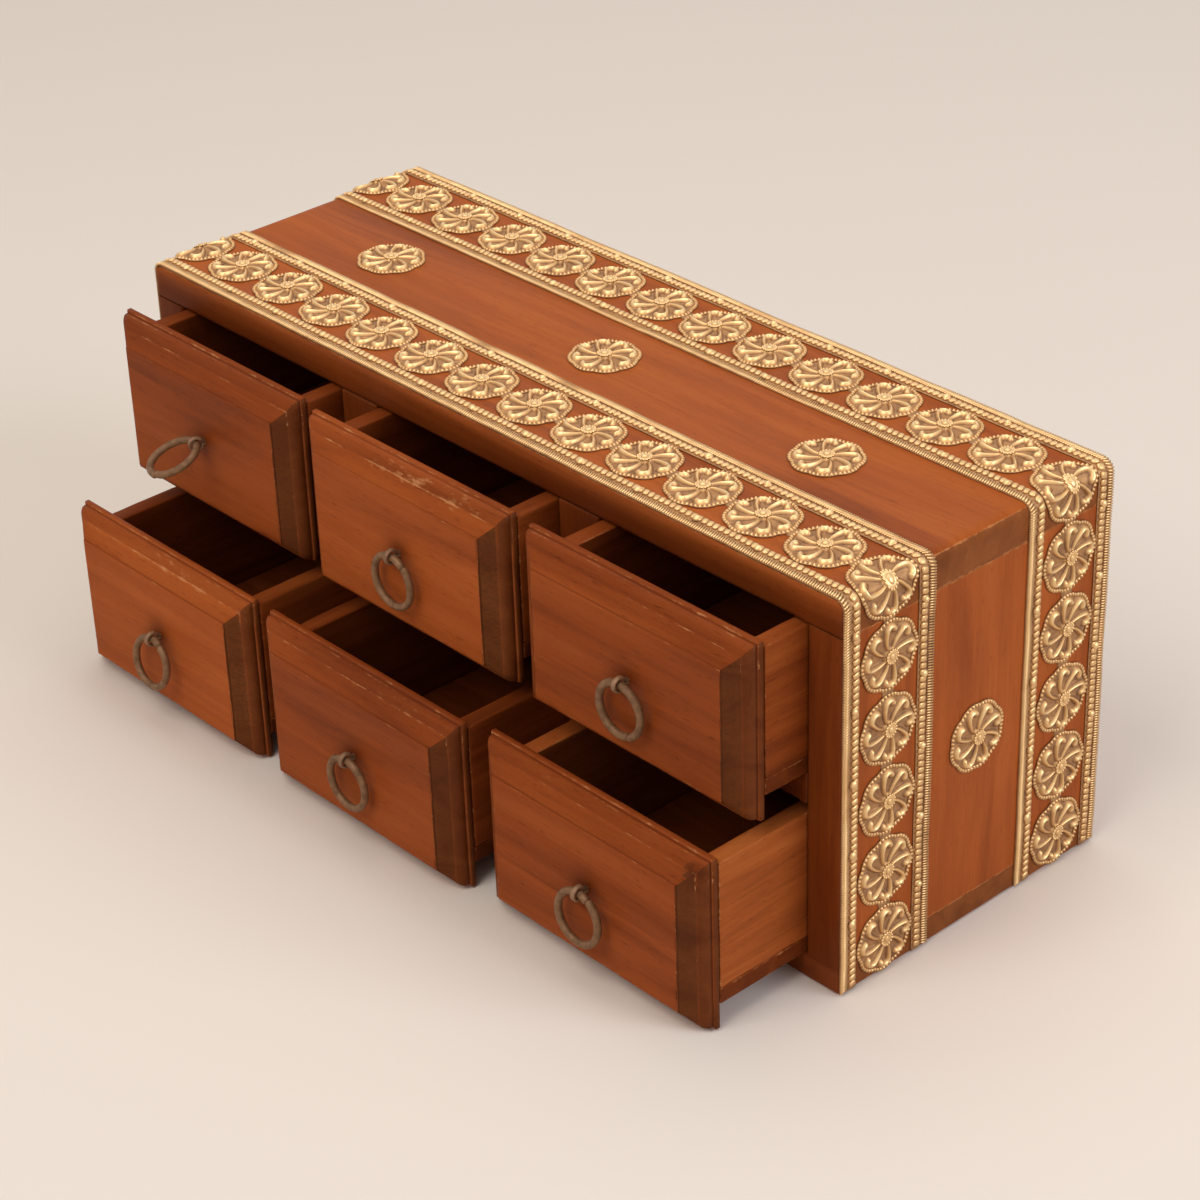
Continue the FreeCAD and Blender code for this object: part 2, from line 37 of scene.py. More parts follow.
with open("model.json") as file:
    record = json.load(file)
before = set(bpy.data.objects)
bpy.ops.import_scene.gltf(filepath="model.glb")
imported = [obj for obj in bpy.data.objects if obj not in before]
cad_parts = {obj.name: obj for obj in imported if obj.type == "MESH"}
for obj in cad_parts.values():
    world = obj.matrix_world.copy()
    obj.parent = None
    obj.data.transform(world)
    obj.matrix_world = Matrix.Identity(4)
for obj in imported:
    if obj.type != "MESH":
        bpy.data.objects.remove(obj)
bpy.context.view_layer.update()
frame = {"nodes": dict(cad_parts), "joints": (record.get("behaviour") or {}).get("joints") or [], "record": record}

MM = 0.001
FULL_TURN = 2 * math.pi
X_AXIS, Y_AXIS, Z_AXIS = range(3)
BODY_OF = {node: body for body, nodes in frame["record"]["behaviour"]["bodies"].items() for node in nodes}
JOINTS = {joint["name"]: joint for joint in frame["joints"]}
DRAWERS = [f"{row}_{column}" for row in ("upper", "lower") for column in ("left", "middle", "right")]
grain_rng = np.random.default_rng(7)


def box_mm(*nodes):
    """Lowest and highest corner of some nodes together, in millimetres."""
    corners = [np.array(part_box(node)) / MM for node in nodes]
    return np.min([low for low, _ in corners], axis=0), np.max([high for _, high in corners], axis=0)


def middle_y(node):
    """Where the middle of a node lies from front to rear."""
    low, high = box_mm(node)
    return (low[Y_AXIS] + high[Y_AXIS]) / 2


def eye_spot(drawer):
    """The middle of the eye in which a drawer's ring hangs."""
    return np.array(JOINTS[f"{drawer}_ring_swing"]["pos_m"]) / MM


# Nodes

class Value:
    """A node's output, which can be reckoned with like a number."""

    def __init__(self, socket):
        self.socket, self.tree = socket, socket.id_data

    def calc(self, work, other=0.0):
        """One step of arithmetic with another value."""
        return add_node(self.tree, "ShaderNodeMath", {0: self, 1: other}, operation=work)

    def __add__(self, other):
        return self.calc("ADD", other)

    def __sub__(self, other):
        return self.calc("SUBTRACT", other)

    def __mul__(self, other):
        return self.calc("MULTIPLY", other)

    def __truediv__(self, other):
        return self.calc("DIVIDE", other)


def feed(tree, sockets, values):
    """Fill sockets by name or number, each with a plain value or from a node's output."""
    for key, value in values.items():
        if isinstance(value, Value):
            tree.links.new(value.socket, sockets[key])
        else:
            sockets[key].default_value = value


def add_node(tree, kind, values=None, output=0, **settings):
    """Make a node with its settings and inputs, and return one of its outputs."""
    made = tree.nodes.new(kind)
    for name, value in settings.items():
        setattr(made, name, value)
    feed(tree, made.inputs, values or {})
    return Value(made.outputs[output])


def spread(value, low, high, to_low=0.0, to_high=1.0):
    """A value smoothly spread from one range to another."""
    inputs = {"Value": value, "From Min": low, "From Max": high, "To Min": to_low, "To Max": to_high}
    return add_node(value.tree, "ShaderNodeMapRange", inputs, interpolation_type="SMOOTHSTEP")


def vector(tree, x=0.0, y=0.0, z=0.0):
    """Three values as one vector."""
    return add_node(tree, "ShaderNodeCombineXYZ", {0: x, 1: y, 2: z})


# Materials

# Multiplied over the wood where its attribute is set: painted shade inside the case and the drawers, on the case's
# front edges, on the drawers' outsides and upper edges and in the grooves of the fronts; also real stains round
# the ring pins and at a knocked corner, and one darker board
GRIME_AND_SHADE = (0.20, 0.115, 0.07)


def tint(share, first, colour, blend="MIX"):
    """A plain colour laid over another by a share."""
    inputs = {0: share, 6: first, 7: (*colour, 1.0)}
    return add_node(share.tree, "ShaderNodeMix", inputs, 2, data_type="RGBA", blend_type=blend)


def ramp(share, stops):
    """A colour ramp through stops, each a place and a colour."""
    made = share.tree.nodes.new("ShaderNodeValToRGB")
    feed(share.tree, made.inputs, {0: share})
    row = made.color_ramp.elements
    while len(row) < len(stops):
        row.new(0.5)
    for element, (place, colour) in zip(row, stops):
        element.position = place
        element.color = (*colour, 1.0)
    return Value(made.outputs[0])


def speckle(where, scale, detail=3.0, roughness=0.55, distortion=0.0):
    """Noise over some coordinates, stretched by a scale for each axis."""
    inputs = {"Vector": add_node(where.tree, "ShaderNodeMapping", {"Vector": where, "Scale": scale}),
              "Scale": 1.0, "Detail": detail, "Roughness": roughness, "Distortion": distortion}
    return add_node(where.tree, "ShaderNodeTexNoise", inputs)


def painted(tree, name, output="Fac"):
    """An attribute stored in the mesh."""
    return add_node(tree, "ShaderNodeAttribute", output=output, attribute_name=name)


def bumps(height, strength, depth_m):
    """Fine unevenness of a surface, from a height."""
    inputs = {"Strength": strength, "Distance": depth_m, "Height": height}
    return add_node(height.tree, "ShaderNodeBump", inputs)


def new_finish(name):
    """A new material with its tree and the inputs of its surface."""
    material = bpy.data.materials.new(name)
    material.use_nodes = True
    return material, material.node_tree, material.node_tree.nodes["Principled BSDF"].inputs


def wood_finish(name, tones, worn, shade, gloss):
    """Stained hardwood, grain along the first grain coordinate, dark at end grain, pale where worn, and darkened
    by painted shade and real stains where its attribute says.
    """
    material, tree, shader = new_finish(name)
    grain = painted(tree, "grain", "Vector")
    figure = speckle(grain, (7.0, 85.0, 85.0), 4.0, 0.55, 1.4)
    clouds = speckle(grain, (11.0, 24.0, 24.0), 2.0)
    fibres = speckle(grain, (45.0, 1400.0, 1400.0), 3.0, 0.6)
    patches = speckle(grain, (150.0, 420.0, 420.0), 5.0, 0.7)
    pores = spread(speckle(grain, (210.0, 2600.0, 2600.0), 2.0), 0.60, 0.74)
    tone = figure * 0.50 + clouds * 0.36 + fibres * 0.14
    colour = ramp(tone, list(zip((0.34, 0.50, 0.66), tones)))
    colour = tint(pores * 0.45, colour, tones[0], "MULTIPLY")
    end_grain = painted(tree, "end_grain") * spread(fibres, 0.2, 0.8, 0.7, 1.0)
    colour = tint(end_grain, colour, shade, "MULTIPLY")
    # Painted shade, with real stains in places, multiplied over the colour
    grime = painted(tree, "grime") * spread(clouds, 0.25, 0.75, 0.55, 1.0)
    colour = tint(grime, colour, GRIME_AND_SHADE, "MULTIPLY")
    rubbed = spread(painted(tree, "edge") + (patches - 0.5) * 2.4, 0.62, 1.15)
    feed(tree, shader, {
        "Base Color": tint(rubbed * 0.75, colour, worn),
        "Roughness": spread(clouds, 0.3, 0.7, gloss, gloss + 0.14) + rubbed * 0.16,
        "Specular IOR Level": 0.06, "Normal": bumps(fibres * 0.5 - pores * 0.7, 0.35, 0.00012),
    })
    return material


def brass_finish(name):
    """Stamped brass, bright on the crests and brown in the hollows, by its relief attribute."""
    material, tree, shader = new_finish(name)
    where = add_node(tree, "ShaderNodeTexCoord", output="Object")
    smudge = speckle(where, (260.0,) * 3, 4.0, 0.6)
    grit = speckle(where, (2600.0,) * 3, 2.0)
    level = painted(tree, "relief") + (smudge - 0.5) * 0.45 + (grit - 0.5) * 0.18
    stops = [
        (0.02, (0.165, 0.075, 0.030)),
        (0.22, (0.390, 0.205, 0.090)),
        (0.48, (0.600, 0.340, 0.138)),
        (0.86, (0.810, 0.550, 0.270)),
    ]
    feed(tree, shader, {
        "Base Color": ramp(level, stops), "Roughness": spread(level, 0.1, 0.9, 0.62, 0.34),
        "Metallic": spread(level, 0.05, 0.5, 0.55, 0.95), "Normal": bumps(grit, 0.25, 0.00008),
    })
    return material


def iron_finish(name, dark, light):
    """Browned wire, rough from the fire and rubbed a little brighter in places."""
    material, tree, shader = new_finish(name)
    where = add_node(tree, "ShaderNodeTexCoord", output="Object")
    scale = speckle(where, (420.0,) * 3, 5.0, 0.65)
    pits = speckle(where, (1900.0,) * 3, 3.0)
    stops = [(0.32, dark), (0.50, light), (0.70, tuple(1.3 * part for part in light))]
    feed(tree, shader, {
        "Base Color": ramp(scale, stops), "Roughness": spread(scale, 0.3, 0.7, 0.62, 0.44),
        "Metallic": 0.2, "Specular IOR Level": 0.25, "Normal": bumps(scale + pits * 0.5, 0.25, 0.0001),
    })
    return material


CASE_WOOD = wood_finish(
    "case_wood",
    [(0.235, 0.050, 0.010), (0.370, 0.085, 0.016), (0.470, 0.118, 0.024)],
    worn=(0.52, 0.20, 0.066), shade=(0.57, 0.76, 1.0), gloss=0.36,
)
FRONT_WOOD = wood_finish(
    "front_wood",
    [(0.180, 0.035, 0.007), (0.285, 0.059, 0.011), (0.360, 0.082, 0.016)],
    worn=(0.60, 0.26, 0.10), shade=(0.37, 0.53, 0.78), gloss=0.42,
)
PALE_FRONT_WOOD = wood_finish(
    "pale_front_wood",
    [(0.225, 0.046, 0.009), (0.350, 0.076, 0.014), (0.440, 0.105, 0.021)],
    worn=(0.62, 0.28, 0.11), shade=(0.28, 0.40, 0.62), gloss=0.42,
)
DRAWER_WOOD = wood_finish(
    "drawer_wood",
    [(0.150, 0.030, 0.006), (0.280, 0.058, 0.010), (0.400, 0.098, 0.019)],
    worn=(0.50, 0.19, 0.065), shade=(0.45, 0.42, 0.42), gloss=0.50,
)
PALE_DRAWER_WOOD = wood_finish(
    "pale_drawer_wood",
    [(0.220, 0.050, 0.011), (0.385, 0.094, 0.019), (0.520, 0.150, 0.034)],
    worn=(0.54, 0.22, 0.08), shade=(0.45, 0.42, 0.42), gloss=0.50,
)
BRASS = brass_finish("stamped_brass")
RING_IRON = iron_finish("ring_iron", (0.135, 0.063, 0.028), (0.205, 0.103, 0.048))
PIN_IRON = iron_finish("pin_iron", (0.150, 0.075, 0.036), (0.260, 0.140, 0.075))


# Meshes

def make_piece(name, points, faces, material):
    """A smooth-shaded object at the origin from points in millimetres."""
    mesh = bpy.data.meshes.new(name)
    places = (np.asarray(points, float) * MM).tolist()
    mesh.from_pydata(places, [], [list(map(int, face)) for face in faces])
    mesh.materials.append(material)
    mesh.shade_smooth()
    piece = bpy.data.objects.new(name, mesh)
    bpy.context.scene.collection.objects.link(piece)
    return piece


def paint(piece, name, values, domain="POINT"):
    """Store one number or one vector for each point or face."""
    values = np.asarray(values, np.float32)
    kind, field = ("FLOAT_VECTOR", "vector") if values.ndim == 2 else ("FLOAT", "value")
    layer = piece.data.attributes.new(name, kind, domain)
    layer.data.foreach_set(field, values.ravel())


def paint_wood(piece, points, axis, edge, grime, end_grain):
    """Grain coordinates in metres, from a different part of the log for each board, and wear, and painted shade
    with real stains and tone.
    """
    order = [axis, (axis + 1) % 3, (axis + 2) % 3]
    paint(piece, "grain", np.asarray(points)[:, order] * MM + grain_rng.uniform(-3.0, 3.0, 3))
    paint(piece, "edge", edge)
    paint(piece, "grime", grime)
    paint(piece, "end_grain", end_grain, "FACE")


def seat(piece, slot, *nodes):
    """Let a piece stand for its nodes and move with their body; its slot is not used."""
    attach(piece, BODY_OF[nodes[0]])
    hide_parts(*nodes)


def wobble(point, size):
    """Smooth noise from -1 to 1 at a point, with bumps of about the given size."""
    return noise.noise(Vector(point) / size)


def ring_quads(start, rings, count, loop=False):
    """Quads between rings of points that follow one another; a loop joins the last ring to the first."""
    quads = []
    for ring in range(rings if loop else rings - 1):
        first, last = start + ring * count, start + (ring + 1) % rings * count
        for side in range(count):
            after = (side + 1) % count
            quads.append((first + side, first + after, last + after, last + side))
    return quads


def tube_faces(rings, count):
    """Faces of a tube through rings of points, closed at both ends."""
    ring = tuple(range(count))
    return ring_quads(0, rings, count) + [ring[::-1], tuple((rings - 1) * count + side for side in ring)]


def dome_faces(rings, count):
    """Faces of a closed dome: its tip, rings of points outwards from it, and a flat base in the last."""
    tip = [(0, 1 + side, 1 + (side + 1) % count) for side in range(count)]
    base = tuple(1 + (rings - 1) * count + side for side in reversed(range(count)))
    return tip + [(a, d, c, b) for a, b, c, d in ring_quads(1, rings, count)] + [base]


# Boards

EDGE_LOOP = 1.1
BOARD_STEP = 7.0
TOP_END_ROUND = 3.0
TOP_FRONT_ROUND = 2.0
FOOT_ROUND = 1.0
PLAIN_ROUND = 0.7
BUTT_ROUND = 0.08
# A ragged edge is bitten towards a core this deep in the board, or towards the middle of a thin one
RAGGED_REACH = 1.5
CORE_DEPTH = 2.0
THIN_BOARD = 4.5
WEAR_FADE = 0.9

CASE_BOX = box_mm("case_top", "case_bottom", "case_left_side", "case_right_side")
# Painted shade on the inner faces of the case and of the drawers
CASE_INSIDE_SHADE = 0.8
DRAWER_INSIDE_SHADE = 0.7
# Painted shade on the front edges of the case boards
FRONT_EDGE_SHADE = 0.92
# What lies deeper than this is inside, and what lies nearer to the opening than the rim is its edge
INSIDE_DEPTH = 1.2
RIM_DEPTH = 0.4
# How far down from its top the painted shade on the front edge of the top fades out
EDGE_SHADE_FADE = 6.0
# Painted shadow on the outside and the upper edges of the drawers in each column, from what lies above them, and a
# darker tone on one board
DRAWER_SHADE = {"left": (0.3, 0.5), "middle": (0.3, 0.5), "right": (0.15, 0.15)}
DARK_BOARDS = {"upper_right_drawer_right_side": 0.30}


def board_lines(low, high, rounding):
    """Grid lines along one side of a board: close at its edges and about one step apart between."""
    length = high - low
    near = [0.0, 0.3 * rounding, 0.65 * rounding, rounding, rounding + EDGE_LOOP, rounding + 3 * EDGE_LOOP]
    near = [line for line in near if line < length / 2 - 0.1]
    inner = length - 2 * near[-1]
    count = max(1, round(inner / BOARD_STEP))
    middle = [near[-1] + inner * step / count for step in range(1, count)]
    return low + np.array(near + middle + [length - line for line in reversed(near)])


def block_surface(lines):
    """Points, quads and the facing axis of each quad, on the surface of a block with these grid lines."""
    index, points, quads, facing = {}, [], [], []
    for axis in range(3):
        across, along = (axis + 1) % 3, (axis + 2) % 3
        ends = (0, len(lines[axis]) - 1)
        for end, a, b in product(ends, range(len(lines[across]) - 1), range(len(lines[along]) - 1)):
            quad = []
            for step_a, step_b in ((a, b), (a + 1, b), (a + 1, b + 1), (a, b + 1)):
                place = [end] * 3
                place[across], place[along] = step_a, step_b
                quad.append(index.setdefault(tuple(place), len(points)))
                if quad[-1] == len(points):
                    points.append([lines[side][step] for side, step in enumerate(place)])
            quads.append(quad if end else quad[::-1])
            facing.append(axis)
    return np.array(points), quads, np.array(facing)


def round_edges(points, low, high, radius_of):
    """Round the edges along each axis; radius_of takes an edge's two faces, each an axis and if high."""
    for axis, high_u, high_v in product(range(3), (False, True), (False, True)):
        u, v = (axis + 1) % 3, (axis + 2) % 3
        radius = radius_of({u: high_u, v: high_v})
        corner_u, corner_v = (high if high_u else low)[u], (high if high_v else low)[v]
        in_u = radius - np.abs(points[:, u] - corner_u)
        in_v = radius - np.abs(points[:, v] - corner_v)
        here = (in_u > 0) & (in_v > 0)
        pull = np.maximum(in_u, in_v)[here] / np.hypot(in_u, in_v)[here]
        points[here, u] = corner_u - (1 if high_u else -1) * (radius - in_u[here] * pull)
        points[here, v] = corner_v - (1 if high_v else -1) * (radius - in_v[here] * pull)


def top_radius(faces):
    """The top is rounded over at its upper ends, less along front and rear, and butts on the sides."""
    if Z_AXIS not in faces:
        return PLAIN_ROUND
    if not faces[Z_AXIS]:
        return BUTT_ROUND if X_AXIS in faces else PLAIN_ROUND
    return TOP_END_ROUND if X_AXIS in faces else TOP_FRONT_ROUND


def side_radius(faces):
    """A side board butts on the top and the bottom, and is softened at its upright edges."""
    return BUTT_ROUND if Z_AXIS in faces else PLAIN_ROUND


def bottom_radius(faces):
    """The bottom board is softened underneath and butts on the sides."""
    return BUTT_ROUND if faces.get(Z_AXIS) else FOOT_ROUND


def shade_inside(points, box, open_axis, open_low, darkening):
    """Painted shade on what faces into a box with one open side, and the distance of each point from that side."""
    from_low, from_high = points - box[0], box[1] - points
    near, far = (from_low, from_high) if open_low else (from_high, from_low)
    gap = np.minimum(near, far)
    gap[:, open_axis] = far[:, open_axis]
    return np.where(gap.min(axis=1) > INSIDE_DEPTH, darkening, 0.0), near[:, open_axis]


def board_shade_and_tone(node, points, top):
    """Painted shade on each point of a board of the case or of a drawer, and one drawer board's darker tone."""
    if "_drawer_" not in node:
        darkening, rim = shade_inside(points, CASE_BOX, Y_AXIS, True, CASE_INSIDE_SHADE)
        unshaded = (EDGE_SHADE_FADE - top + points[:, 2]) / EDGE_SHADE_FADE if node == "case_top" else 0.0
        return np.where(rim < RIM_DEPTH, FRONT_EDGE_SHADE * (1 - np.clip(unshaded, 0, 1)), darkening)
    row, column = node.split("_")[:2]
    boards = [f"{row}_{column}_drawer_{board}" for board in ("left_side", "right_side", "back", "bottom")]
    darkening, rim = shade_inside(points, box_mm(*boards), Z_AXIS, False, DRAWER_INSIDE_SHADE)
    outside, upper_edge = DRAWER_SHADE[column]
    return np.maximum(np.where(rim < RIM_DEPTH, upper_edge, darkening), DARK_BOARDS.get(node, outside))


def wood_board(node, grain_axis, material=CASE_WOOD, rounding=PLAIN_ROUND, ragged=0.25, radius_of=None):
    """A board with softened, slightly ragged edges in place of a plain block."""
    low, high = box_mm(node)
    lines = [board_lines(low[axis], high[axis], rounding) for axis in range(3)]
    points, quads, facing = block_surface(lines)
    to_edge = np.sort(np.minimum(points - low, high - points), axis=1)[:, 1]
    round_edges(points, low, high, radius_of or (lambda _: rounding))
    core = np.clip(points, low + CORE_DEPTH, high - CORE_DEPTH)
    if (high - low).min() <= THIN_BOARD:
        core[:] = (low + high) / 2
    for number in np.nonzero(to_edge < RAGGED_REACH)[0]:
        bite = max(0.0, wobble(points[number], 9.0) + 0.4 * wobble(points[number], 2.5)) * ragged
        inward = core[number] - points[number]
        points[number] += inward / max(np.linalg.norm(inward), 0.5) * bite
    piece = make_piece(f"{node}_board", points, quads, material)
    # Painted shade, and one drawer board's darker tone, at each point
    darkening = board_shade_and_tone(node, points, high[2])
    wear = np.exp(-to_edge / WEAR_FADE) * (1 - darkening)
    paint_wood(piece, points, grain_axis, wear, darkening, (facing == grain_axis).astype(float))
    seat(piece, "drawer_wood" if "_drawer_" in node else "case_wood", node)


wood_board("case_top", X_AXIS, CASE_WOOD, TOP_END_ROUND, 0.15, top_radius)
wood_board("case_bottom", X_AXIS, CASE_WOOD, FOOT_ROUND, 0.2, bottom_radius)
for side_name in ("left", "right"):
    wood_board(f"case_{side_name}_side", Z_AXIS, CASE_WOOD, PLAIN_ROUND, 0.12, side_radius)
wood_board("case_back", X_AXIS)
wood_board("case_shelf", X_AXIS, rounding=0.8, ragged=0.35)
for row in ("upper", "lower"):
    for side_name in ("left", "right"):
        wood_board(f"{row}_{side_name}_divider", Z_AXIS, rounding=0.8, ragged=0.35)
for drawer in DRAWERS:
    side_wood = PALE_DRAWER_WOOD if drawer == "lower_right" else DRAWER_WOOD
    for side_name in ("left", "right"):
        wood_board(f"{drawer}_drawer_{side_name}_side", Y_AXIS, side_wood, ragged=0.45)
    wood_board(f"{drawer}_drawer_back", X_AXIS, DRAWER_WOOD, ragged=0.4)
    wood_board(f"{drawer}_drawer_bottom", X_AXIS, DRAWER_WOOD, rounding=0.5, ragged=0.3)


# Drawer fronts

FRONT_STEP = 2.4
FRONT_THICK = 9.0
OVOLO_STEPS = 6
OVOLO_RADIUS = 3.2
OVOLO_FOOT = (0.8, 3.1)
OVOLO_CREST = (3.2, 5.7)
# Where the lip, the arris, the panel and its flat lie in from a side, from the top and from the foot
SIDE_LINES = (0.0, 0.8, 3.2, 7.6, 9.6)
TOP_LINES = (0.0, 0.8, 4.0, 8.4, 10.4)
FOOT_LINES = (0.0, 0.8, 2.0, 5.4, 7.4)
STAIN_REACH = 5.0
STAIN_DIRT = 0.75
KNOCK_DIRT = 0.55
LEFT_END_GRAIN = 0.4
OVOLO_END_GRAIN = 0.8
SIDE_WEAR = 0.55
# How far round the corner the knock reaches and how deep it is
KNOCKED_CORNER = {"lower_right": (4.0, 1.6)}
SCUFFED_TOP = {"upper_middle": 0.32, "lower_left": 0.24, "lower_middle": 0.12}
PALE_FRONTS = ("upper_middle", "lower_left")


def front_section():
    """The side moulding from back edge to panel: distance in, height above the back, wear, and a darkening that is
    painted shade in its grooves.
    """
    foot, crest = np.array(OVOLO_FOOT), np.array(OVOLO_CREST)
    chord = crest - foot
    reach = math.sqrt(OVOLO_RADIUS ** 2 - chord @ chord / 4)
    middle = (foot + crest) / 2 + np.array([chord[1], -chord[0]]) / np.linalg.norm(chord) * reach
    start, end = (math.atan2(*(spot - middle)[::-1]) for spot in (foot, crest))
    # The last figure of each row darkens the wood: painted shade in the fillet's groove and in the quirk, and a
    # lighter darkening on the lip and the ovolo
    rows = [(0.5, 0.0, 0.1, 0.3), (0.0, 0.5, 0.4, 0.3), (0.0, 1.2, 0.2, 0.3), (0.0, 1.8, 0.4, 0.2)]
    rows += [(0.25, 2.2, 0.75, 0.0), (0.62, 2.22, 0.4, 0.35), (0.8, 2.4, 0.1, 0.75), (0.8, 2.9, 0.35, 0.3)]
    for step in range(OVOLO_STEPS):
        angle = start + (end - start) * step / OVOLO_STEPS
        spot = middle + OVOLO_RADIUS * np.array([math.cos(angle), math.sin(angle)])
        rows.append((*spot, 0.62 if step == 0 else 0.28, 0.2))
    rows += [(3.05, 5.62, 0.4, 0.1), (3.22, 5.73, 0.8, 0.0), (3.5, 5.92, 0.35, 0.0), (5.0, 6.95, 0.1, 0.1)]
    rows += [(7.2, 8.45, 0.0, 0.1), (7.55, 8.68, 0.0, 0.6), (7.62, 8.9, 0.2, 0.3), (7.85, 9.0, 0.62, 0.0)]
    rows += [(8.3, 9.0, 0.12, 0.0), (9.6, 9.0, 0.0, 0.0)]
    return rows


def front_mesh(low, high):
    """Points, wear, painted shade and stains, and quads of a front with a mitred moulding."""
    wide, tall = high[0] - low[0], high[2] - low[2]
    across, up = max(8, round(wide / FRONT_STEP)), max(6, round(tall / FRONT_STEP))
    rim = [(step, 0) for step in range(across)] + [(across, step) for step in range(up)]
    rim += [(across - step, up) for step in range(across)] + [(0, up - step) for step in range(up)]
    rows = front_section()
    marks = [(*place, *row) for row in rows for place in rim]
    faces = ring_quads(0, len(rows), len(rim))
    for row, first, flip in ((rows[-1], (len(rows) - 1) * len(rim), False), (rows[0], 0, True)):
        grid = {place: first + number for number, place in enumerate(rim)}
        for place in product(range(1, across), range(1, up)):
            grid[place] = len(marks)
            marks.append((*place, *row[:2], 0.0, 0.0))
        for a, b in product(range(across), range(up)):
            quad = (grid[a, b], grid[a + 1, b], grid[a + 1, b + 1], grid[a, b + 1])
            faces.append(quad[::-1] if flip else quad)
    column, line, inset, height, edge, grime = np.array(marks).T.copy()
    foot, top = (np.interp(inset, SIDE_LINES, lines) for lines in (FOOT_LINES, TOP_LINES))
    x = low[0] + inset + column / across * (wide - 2 * inset)
    z = low[2] + foot + line / up * (tall - top - foot)
    return np.stack([x, high[1] - height, z], axis=1), edge, grime, np.array(faces)


def drawer_front(drawer):
    """A worn front, stained round its ring; a knocked arris corner is rounded off, as by a fall."""
    node = f"{drawer}_drawer_front"
    low, high = box_mm(node)
    pin = eye_spot(drawer)
    points, edge, grime, faces = front_mesh(low, high)
    share = (points[:, 0] - low[0]) / (high[0] - low[0])
    along = np.clip(share * 4 - 1.0, 0, 1) * np.clip(5.6 - share * 6, 0, 1)
    below_top = high[2] - points[:, 2]
    edge += SCUFFED_TOP.get(drawer, 0.0) * along * (below_top < TOP_LINES[3]) * (below_top > TOP_LINES[1])
    aside = np.minimum(points[:, 0] - low[0], high[0] - points[:, 0]) < SIDE_LINES[3]
    edge[aside & (below_top > TOP_LINES[3])] *= SIDE_WEAR
    for number, point in enumerate(points):
        bite = max(0.0, wobble(point, 11.0) + 0.6 * wobble(point, 3.0) + 0.1) * edge[number] * 0.45
        points[number, 1] += bite
        points[number, 2] -= bite * np.sign(point[2] - pin[2]) * 0.5
        if point[1] < high[1] - FRONT_THICK + 0.1:
            span = math.hypot(point[0] - pin[0], (point[2] - pin[2] + 1.0) * 0.8)
            grime[number] = max(grime[number], STAIN_DIRT * math.exp(-(span / STAIN_REACH) ** 2))
    if drawer in KNOCKED_CORNER:
        reach, depth = KNOCKED_CORNER[drawer]
        spot = np.array([high[0] - SIDE_LINES[2], high[1] - OVOLO_CREST[1], high[2] - TOP_LINES[2]])
        span = np.linalg.norm(points - spot, axis=1)
        push = depth * np.clip(1 - span / reach, 0, 1) ** 1.3
        points += push[:, None] * np.array([-1.0, 1.0, -1.0]) / math.sqrt(3)
        grime = np.maximum(grime, KNOCK_DIRT * np.clip(1.35 - span / reach, 0, 1))
    points[:, 1] = np.minimum(points[:, 1], high[1])
    corners = points[faces]
    facing = np.cross(corners[:, 2] - corners[:, 0], corners[:, 3] - corners[:, 1])
    sideways = np.abs(facing[:, 0]) / np.maximum(np.linalg.norm(facing, axis=1), 1e-9)
    ends = np.clip((sideways - 0.1) / 0.2, 0, 1) * np.where(facing[:, 0] < 0, LEFT_END_GRAIN, 1.0)
    ends *= np.where(high[1] - corners[:, :, 1].mean(axis=1) < OVOLO_CREST[1], OVOLO_END_GRAIN, 1.0)
    wood = PALE_FRONT_WOOD if drawer in PALE_FRONTS else FRONT_WOOD
    piece = make_piece(f"{node}_panel", points, faces, wood)
    paint_wood(piece, points, X_AXIS, edge, grime, ends)
    seat(piece, "front_wood", node)


for drawer in DRAWERS:
    drawer_front(drawer)


# Stamped brass: flat strips, stamps and tacks, bent over the rounded ends of the top

HALF_WIDTH, _, CASE_HEIGHT = CASE_BOX[1]
HALF_FLAT = HALF_WIDTH - TOP_END_ROUND
BEND_LENGTH = TOP_END_ROUND * math.pi / 2
BRASS_LIFT = 0.6
BEND_INPUTS = {"Half Flat": HALF_FLAT * MM, "Round": TOP_END_ROUND * MM, "Height": CASE_HEIGHT * MM}


def side_run(level):
    """Distance along a strip, from the middle of the top down to a level on the side."""
    return HALF_FLAT + BEND_LENGTH + CASE_HEIGHT - TOP_END_ROUND - level


HALF_STRIP = side_run(BRASS_LIFT)


def new_tree(name, numbers=(), **others):
    """A geometry tree with named inputs, most of them numbers; returned with its inputs by name."""
    tree = bpy.data.node_groups.new(name, "GeometryNodeTree")
    kinds = {"Geometry": "Geometry", **dict.fromkeys([*numbers, *BEND_INPUTS], "Float"), **others}
    for socket, kind in kinds.items():
        tree.interface.new_socket(name=socket, in_out="INPUT", socket_type=f"NodeSocket{kind}")
    tree.interface.new_socket(name="Geometry", in_out="OUTPUT", socket_type="NodeSocketGeometry")
    return tree, {socket.name: Value(socket) for socket in tree.nodes.new("NodeGroupInput").outputs}


def give_back(tree, shape):
    """Let a shape be the result of its tree."""
    feed(tree, tree.nodes.new("NodeGroupOutput").inputs, {0: shape})
    return tree


def own_place(tree):
    """The three coordinates of each point."""
    made = tree.nodes.new("ShaderNodeSeparateXYZ")
    feed(tree, made.inputs, {0: add_node(tree, "GeometryNodeInputPosition")})
    return [Value(socket) for socket in made.outputs]


def realize(shape):
    """Copies turned into real geometry."""
    return add_node(shape.tree, "GeometryNodeRealizeInstances", {"Geometry": shape})


def smooth(shape):
    """A shape shaded smooth."""
    return add_node(shape.tree, "GeometryNodeSetShadeSmooth", {"Geometry": shape})


